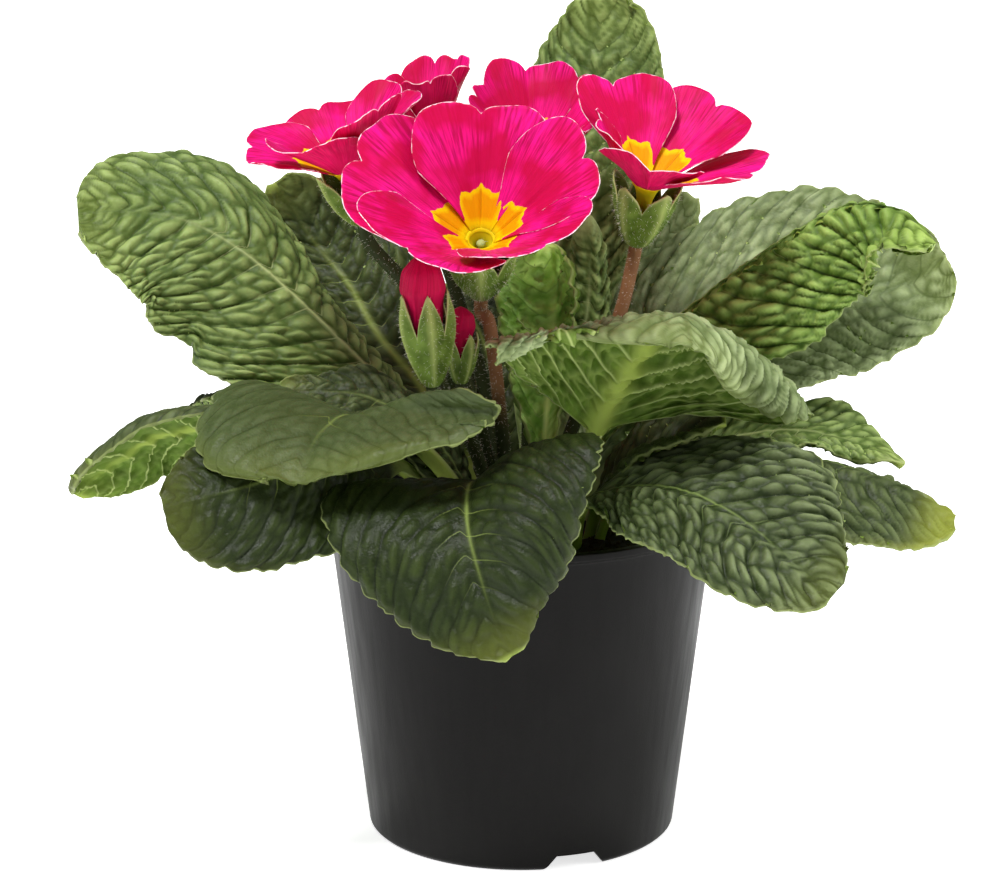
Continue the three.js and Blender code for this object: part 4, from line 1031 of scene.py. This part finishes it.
def petal_points(flower, index, u, v):
    """Points of a petal's middle sheet, the distance from the axis along the petal and the reach."""
    lift_in, lift_out, share, spread = flower["petals"][index]
    q = np.abs(v)
    rounded = 1 - 0.37 * (np.maximum(q - 0.4, 0) / 0.6) ** 2.3
    notch = 0.07 * np.exp(-q / 0.06) + 0.03 * bell(v, 0.22)
    full = flower["radius"] * share - THROAT_RADIUS
    scallop = 0.018 * soft_noise(v * 5 + 20, np.full_like(v, index + 0.5), 40 + index)
    reach = flower["radius"] * share * (rounded - notch + scallop) - THROAT_RADIUS
    x = u * reach / full
    start, bend = radians(lift_in), radians(lift_out - lift_in) or 1e-4
    radius = THROAT_RADIUS + full * (np.sin(start + bend * x) - sin(start)) / bend
    rise = -full * (np.cos(start + bend * x) - cos(start)) / bend
    over_next, over_last = -ABOVE[index] * PETAL_OVERLAP, ABOVE[index - 1] * PETAL_OVERLAP
    tilt = np.where(v > 0, over_next, over_last) * q ** 1.5 * np.sqrt(x)
    ruffle = PETAL_RUFFLE * x ** 3 * np.sin(5 * v + 1.7 * index)
    claw = 0.86 + 0.17 * smooth(0, 0.6, x)
    angle = radians(PETAL_TURN * index) + v * claw * radians(spread)
    point = place_in_frame(face_frame(flower["axis"]), flower["centre"], angle, radius, rise + tilt + ruffle)
    return point, THROAT_RADIUS + full * x, reach


def petal_parts(flower, index, seed):
    """One petal as a closed sheet, with a crease down its middle, pleats and a frilled edge."""
    rows, columns = PETAL_GRID
    u, v = np.meshgrid(np.linspace(0, 1, rows + 1) ** 0.85, np.linspace(-1, 1, columns + 1), indexing="ij")
    base, distance, reach = petal_points(flower, index, u, v)
    crease = -CREASE_DEPTH * bell(v, 0.05) * np.sin(pi * np.clip(u, 0, 1)) ** 0.7
    pleat = (PLEAT_HEIGHT * soft_noise(v * 8 + 9, u * 1.4, seed) * u
             + FINE_PLEAT_HEIGHT * soft_noise(v * 19 + 9, u * 2.4, seed + 2) * u)
    frill = flower["frill"] * smooth(0.6, 1, u) * soft_noise(v * 3.4 + 5, u * 2, seed + 1)
    normal = grid_normals(base)
    above = base + normal * (crease + pleat + frill)[..., None]
    thickness = PETAL_THICKNESS * (1 - 0.5 * np.maximum(smooth(0.8, 1, u), smooth(0.8, 1, np.abs(v))))
    below = above - normal * thickness[..., None]
    from_tip = (1 - u) * reach
    spread = radians(flower["petals"][index][3])
    from_side = (1 - np.abs(v)) * distance * spread + 2 * (1 - smooth(0.3, 0.55, u))
    margin = np.minimum(from_tip, from_side)
    return sheet_parts(above, below, 1, dict(reach=distance, side=v, margin=margin))


def corolla_piece(name, flower, seed, materials):
    """Five petals on a tube that widens into the throat."""
    parts, slots, values = [], [], dict(reach=[], side=[], margin=[])
    for index in range(len(flower["petals"])):
        *part, some_slots, some_values = petal_parts(flower, index, seed + FRILL_SEED_STEP * index)
        parts.append(part)
        slots += some_slots
        for label in values:
            values[label].append(some_values[label])
    rings = flower_rings(flower, TUBE_PROFILE, TUBE_SIDES)
    count = len(rings) * TUBE_SIDES
    walls = [[corner % count for corner in face] for face in ring_walls(len(rings) + 1, TUBE_SIDES)]
    points, faces = joined([*parts, (np.vstack(rings), walls)])
    slots += [0] * count
    reaches = [3.6 if radius > 2.6 else THROAT_RADIUS for _, radius in TUBE_PROFILE]
    values["reach"].append(np.repeat(reaches, TUBE_SIDES))
    values["side"].append(np.zeros(count))
    values["margin"].append(np.full(count, AWAY_FROM_HEM))
    return new_piece(f"{name}_petals", points, faces, materials, slots,
                     {label: np.concatenate(some) for label, some in values.items()})


def tube_along(path_points, radius, rows, sides):
    """Points and faces of a round stalk, closed at both ends."""
    t = np.linspace(0, 1, rows + 1)
    middle, _ = smooth_path(path_points, t)
    tangent = path_tangent(path_points, t)
    side = unit(np.array([1.0, 0, 0]) - tangent[:, :1] * tangent)
    other = np.cross(tangent, side)
    angles = ring_angles(sides)
    rings = (middle[:, None] + radius * np.cos(angles)[None, :, None] * side[:, None]
             + radius * np.sin(angles)[None, :, None] * other[:, None])
    return capped(rings, middle[[0, -1]])


def calyx_parts(flower):
    """The toothed cup under a flower, with its floor on the stalk. Each tooth carries a keel."""
    axes, scale = face_frame(flower["axis"]), flower["scale"]
    rows, sides = CALYX_GRID
    angles = ring_angles(sides)
    from_keel = np.abs(((angles / (2 * pi) * CALYX_TEETH) % 1) - 0.5) * 2
    tooth = flower["tooth"] * (1 - from_keel ** 1.25) - 0.9 * smooth(0.7, 1, from_keel)
    heights, radii = np.array(CALYX_PROFILE).T
    outer, inner, marks = [], [], []
    for row in range(rows + 1):
        share = row / rows
        height = -CALYX_DEPTH + share * (CALYX_MOUTH + flower["cup"] + tooth + CALYX_DEPTH)
        ridged = 1 + CALYX_RIDGE * np.cos(pi * from_keel) * smooth(0, 0.3, share)
        hug = 1 - flower["hug"] * smooth(-3, 3.5, height)
        radius = np.interp(height, heights, radii) * ridged * hug * flower["girth"]
        outer.append(place_in_frame(axes, flower["centre"], angles, radius, height * scale))
        within = np.maximum(radius - CALYX_WALL * (1 if share < 0.95 else 0.5), 0.5)
        inner.append(place_in_frame(axes, flower["centre"], angles, within,
                                    np.maximum(height, CALYX_FLOOR) * scale))
        marks.append((bell(from_keel, 0.2), smooth(0.93, 1, share) * np.ones(sides)))
    loops = outer + inner[::-1][:-2]
    keels = [mark[0] for mark in marks] + [mark[0] * 0 for mark in marks[::-1][:-2]]
    edges = [mark[1] for mark in marks] + [mark[1] for mark in marks[::-1][:-2]]
    points, faces = capped(loops)
    return points, faces, np.r_[np.concatenate(keels), 0, 0], np.r_[np.concatenate(edges), 0, 0]


def stalk_piece(name, flower, tree, skin, down, pistil):
    """The stalk with its calyx and, on a flower, the pistil that stands in the throat."""
    scale = flower["scale"]
    out, _, _ = face_frame(flower["axis"])
    centre = np.array(flower["centre"], float)
    path = [*flower["stalk"],
            *[centre - out * (CALYX_DEPTH + under) * scale for under in (STALK_STRAIGHT, -STALK_SUNK)]]
    stalk = tube_along(path, STALK_RADIUS if scale >= 1 else THIN_STALK_RADIUS, *STALK_GRID)
    *calyx, keels, edges = calyx_parts(flower)
    parts = [stalk, calyx]
    if pistil:
        parts.append(capped(flower_rings(flower, PISTIL_PROFILE, PISTIL_SIDES), paired=False))
    points, faces = joined(parts)
    bare = np.zeros(len(stalk[0]))
    extra = np.ones(len(points) - len(bare) - len(keels))
    values = dict(
        ruddy=flower["ruddy"] * smooth(*RUDDY_HEIGHTS, points[:, 2]),
        stem=np.r_[bare + 1, np.zeros(len(points) - len(bare))],
        keel=np.r_[bare, keels, extra], edge=np.r_[bare, edges, extra])
    piece = new_piece(f"{name}_stem", points, faces, [skin, down], None, values)
    grow(piece, tree, **HAIRS, Material=down)
    return piece


def bud_piece(name, bud, material):
    """Five petals rolled up in a slow spiral, closed at the tip."""
    axes = face_frame(bud["axis"])
    rows, sides = BUD_GRID
    angles = ring_angles(sides)
    heights, radii = np.array(BUD_PROFILE).T
    rings, marks = [], []
    for row in range(rows + 1):
        height = heights[0] + (heights[-1] - heights[0]) * row / rows
        radius = np.interp(height, heights, radii)
        roll = (angles * CALYX_TEETH / (2 * pi)) % 1
        lap = (0.13 * roll * smooth(-6, 4, height)
               + 0.2 * smooth(0, 4, height) * (1 - smooth(5.5, 8.6, height)))
        rings.append(place_in_frame(axes, bud["centre"], angles + 0.05 * height,
                                    radius * (0.95 + lap) * bud["girth"],
                                    np.full(sides, height * bud["scale"])))
        marks.append(roll)
    points, faces = capped(rings)
    values = dict(reach=np.full(len(points), AWAY_FROM_STAR), side=np.r_[np.concatenate(marks), 0, 0],
                  margin=np.full(len(points), AWAY_FROM_HEM))
    return new_piece(f"{name}_rolled", points, faces, [material], None, values)


# ---- Pot and compost ---------------------------------------------------------------------------

WALL_TOP_RADIUS = RIM_RADIUS - LIP_OVERHANG


def wall_radius(z):
    """Outer radius of the pot's wall at a height."""
    return BASE_RADIUS + (WALL_TOP_RADIUS - BASE_RADIUS) * z / POT_HEIGHT


def lathe(profile, sides):
    """Points and faces of a solid turned on the pot's axis, from pairs of radius and height that start
    and end on the axis."""
    rings = [np.array([(radius * cos(angle), radius * sin(angle), z) for angle in ring_angles(sides)])
             for radius, z in profile[1:-1]]
    return capped(rings, [(0, 0, profile[0][1]), (0, 0, profile[-1][1])])


def rounded_corner(points, index, radius, steps=CORNER_STEPS):
    """The corner of an outline at index, eased by a curve that starts and ends radius from it."""
    before, corner, after = (np.array(points[index + k], float) for k in (-1, 0, 1))
    start = corner + (before - corner) / np.linalg.norm(before - corner) * radius
    end = corner + (after - corner) / np.linalg.norm(after - corner) * radius
    shares = [step / steps for step in range(steps + 1)]
    return [tuple((1 - s) ** 2 * start + 2 * s * (1 - s) * corner + s * s * end) for s in shares]


def pot_piece(material):
    """The pot, turned on its axis, with its foot notched and its floor drilled."""
    floor_top = FLOOR_UNDERSIDE + POT_WALL
    lip_from = POT_HEIGHT - LIP_DEPTH
    wall_to = lip_from - LIP_OVERHANG
    foot_inside = BASE_RADIUS - FOOT_WIDTH
    outline = [(0, FLOOR_UNDERSIDE), (foot_inside - FOOT_SLOPE, FLOOR_UNDERSIDE), (foot_inside, 0),
               (BASE_RADIUS - FOOT_CHAMFER, 0), (wall_radius(FOOT_CHAMFER), FOOT_CHAMFER),
               (wall_radius(wall_to), wall_to), (RIM_RADIUS, lip_from), (RIM_RADIUS, POT_HEIGHT),
               (WALL_TOP_RADIUS - POT_WALL, POT_HEIGHT),
               (wall_radius(floor_top) - POT_WALL, floor_top), (0, floor_top)]
    profile = []
    for index, point in enumerate(outline):
        profile += rounded_corner(outline, index, CORNER_EASE[index]) if index in CORNER_EASE else [point]
    place = next(k for k, point in enumerate(profile) if point[1] > 10)
    profile[place:place] = [(wall_radius(z), z) for z in np.linspace(2, wall_to - 2, WALL_ROWS)]
    points, faces = lathe(profile, POT_SIDES)
    piece = new_piece("nursery_pot", points, faces, [material])
    cutters = []
    for index in range(NOTCH_COUNT):
        angle = radians(NOTCH_HEADING + 360 * index / NOTCH_COUNT)
        below, above = NOTCH_WIDTH_BELOW / 2, NOTCH_WIDTH_ABOVE / 2
        edge = [(-below, -1), (below, -1), (below, 0),
                (above, NOTCH_HEIGHT), (-above, NOTCH_HEIGHT), (-below, 0)]
        ring = [(r, x, z) for r in (BASE_RADIUS - 8, BASE_RADIUS + 4) for x, z in edge]
        turned = [(r * cos(angle) - x * sin(angle), r * sin(angle) + x * cos(angle), z) for r, x, z in ring]
        walls = [[k, (k + 1) % 6, (k + 1) % 6 + 6, k + 6] for k in range(6)]
        cutters.append((np.array(turned), [*walls, [5, 4, 3, 2, 1, 0], [6, 7, 8, 9, 10, 11]]))
    for index in range(DRAIN_COUNT):
        angle = 2 * pi * index / DRAIN_COUNT
        hole, hole_faces = lathe([(0, 1), (DRAIN_RADIUS, 1), (DRAIN_RADIUS, 7), (0, 7)], DRAIN_SIDES)
        cutters.append((hole + [DRAIN_CIRCLE * cos(angle), DRAIN_CIRCLE * sin(angle), 0], hole_faces))
    cutter_points, cutter_faces = joined(cutters)
    cutter = new_piece("pot_cutters", cutter_points, cutter_faces, [material])
    cut = piece.modifiers.new("cut", "BOOLEAN")
    cut.operation = "DIFFERENCE"
    cut.object = cutter
    cut.solver = "EXACT"
    keep_result(piece, cut)
    bpy.data.objects.remove(cutter)
    piece.data.set_sharp_from_angle(angle=radians(SHARP_FROM))
    return piece


def soil_piece(tree, bed, crumb):
    """Compost that fills the pot, with a crumbly top."""
    inside = lambda z: wall_radius(z) - POT_WALL - GAP
    floor = FLOOR_UNDERSIDE + POT_WALL + GAP
    rim = inside(SOIL_EDGE)
    shares = np.linspace(1, 0, SOIL_RINGS + 2)[1:-1]
    top = [(rim * share, SOIL_EDGE + (SOIL_MIDDLE - SOIL_EDGE) * min(1, 2 * (1 - share)))
           for share in shares]
    profile = [(0, floor), (inside(floor) - SOIL_CHAMFER, floor),
               (inside(floor + SOIL_CHAMFER), floor + SOIL_CHAMFER),
               (rim, SOIL_EDGE), *top, (0, SOIL_MIDDLE)]
    points, faces = lathe(profile, SOIL_SIDES)
    x, y, z = points.T
    on_top = smooth(SOIL_EDGE - 0.01, SOIL_EDGE + 0.05, z) * smooth(0, 2, rim - np.hypot(x, y))
    lump = 0.6 * soft_noise(x / 5, y / 5, 1) + 0.5 * soft_noise(x / 2, y / 2, 2) + 0.3 * soft_noise(x, y, 3)
    points[:, 2] = z + on_top * (lump - 0.3)
    piece = new_piece("peat_compost", points, faces, [bed])
    grow(piece, tree, **CRUMBS, Material=crumb)
    return piece


# ---- Studio ------------------------------------------------------------------------------------

def area_light(name, place, target, size, watts):
    """A soft panel at a place, turned to a target, all in metres."""
    data = bpy.data.lights.new(name, "AREA")
    data.shape = "RECTANGLE"
    data.size, data.size_y = size
    data.energy = watts
    light = bpy.data.objects.new(name, data)
    light.location = place
    light.rotation_euler = (Vector(target) - Vector(place)).to_track_quat("-Z", "Y").to_euler()
    bpy.context.scene.collection.objects.link(light)


def sun(name, direction, strength, softness):
    """Parallel light that comes from a direction. softness is how wide its source looks, in degrees."""
    data = bpy.data.lights.new(name, "SUN")
    data.energy = strength
    data.angle = radians(softness)
    light = bpy.data.objects.new(name, data)
    light.rotation_euler = Vector(direction).to_track_quat("Z", "Y").to_euler()
    bpy.context.scene.collection.objects.link(light)


def make_studio():
    """The camera, the floor and the light."""
    scene = bpy.context.scene
    tilt = radians(CAMERA_ELEVATION)
    target = Vector(CAMERA_TARGET) * MM
    data = bpy.data.cameras.new("camera")
    data.sensor_width = SENSOR_WIDTH
    data.lens = FOCAL_PIXELS / IMAGE_WIDTH * SENSOR_WIDTH
    data.clip_start = 0.05
    data.clip_end = 20
    camera = bpy.data.objects.new("camera", data)
    camera.location = target + Vector((0, -cos(tilt), sin(tilt))) * CAMERA_DISTANCE * MM
    camera.rotation_euler = (radians(90) - tilt, 0, 0)
    scene.collection.objects.link(camera)
    scene.camera = camera

    corners = [(x * FLOOR_HALF, y * FLOOR_HALF, 0) for x, y in ((-1, -1), (1, -1), (1, 1), (-1, 1))]
    paint = new_material("white_acrylic_sheet", floor_paint)
    floor = new_piece("floor", corners, [[0, 1, 2, 3]], [paint])

    sun("key", direction=(-0.3, -0.35, 1), strength=3, softness=14)
    sun("top", direction=(0.1, -0.3, 1), strength=0.5, softness=70)
    area_light("right_panel", place=(0.75, -0.2, 0.25), target=(0, 0, 0.05), size=(0.3, 0.8), watts=4)
    area_light("left_panel", place=(-0.8, -0.1, 0.3), target=(0, 0, 0.06), size=(0.25, 0.9), watts=1.2)
    world = bpy.data.worlds.new("studio")
    world.use_nodes = True
    world.node_tree.nodes["Background"].inputs["Color"].default_value = linear("#f2f4f7")
    world.node_tree.nodes["Background"].inputs["Strength"].default_value = 0.3
    scene.world = world
    scene.view_settings.view_transform = "Standard"


# ---- The plant in its pot ----------------------------------------------------------------------

def finish_piece(piece, node):
    """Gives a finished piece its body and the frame's node that it replaces."""
    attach(piece, "root")
    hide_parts(node)


def main():
    make_studio()
    uppers = {look: new_material(f"primrose_leaf_upper_{look}", leaf_upper, look) for look in LEAF_GREENS}
    underside = new_material("primrose_leaf_underside", leaf_underside)
    petal_face, petal_back, petal_bud = [
        new_material(f"primrose_petal_{side_shown}", petal_skin, side_shown) for side_shown in PETAL_PINKS]
    calyx, down = new_material("primrose_calyx", calyx_skin), new_material("white_down", white_down)
    hairs, crumbs = scatter_tree("hairs", True), scatter_tree("crumbs", False)
    plastic = new_material("thermoformed_polypropylene", pot_plastic)
    finish_piece(pot_piece(plastic), "pot")
    bed = new_material("peat_compost_bed", compost, "#0f0c09", "#2b211a")
    crumb = new_material("peat_crumbs", compost, "#120e0b", "#40301f")
    finish_piece(soil_piece(crumbs, bed, crumb), "soil")
    for seed, (name, own) in enumerate(LEAVES.items(), FIRST_LEAF_SEED):
        leaf = {**LEAF_USUAL, **own}
        skins = [underside, uppers[leaf["look"]]] if leaf["turned"] else [uppers[leaf["look"]], underside]
        finish_piece(leaf_piece(name, leaf, seed, skins), name)
    for seed, (name, own) in enumerate(FLOWERS.items(), FIRST_FLOWER_SEED):
        flower = {**FLOWER_USUAL, **own}
        finish_piece(corolla_piece(name, flower, seed, [petal_face, petal_back]), f"{name}_corolla")
        finish_piece(stalk_piece(name, flower, hairs, calyx, down, True), f"{name}_stalk")
    for name, own in BUDS.items():
        bud = {**FLOWER_USUAL, **own}
        finish_piece(bud_piece(name, bud, petal_bud), f"{name}_petals")
        finish_piece(stalk_piece(name, bud, hairs, calyx, down, False), f"{name}_stalk")


main()
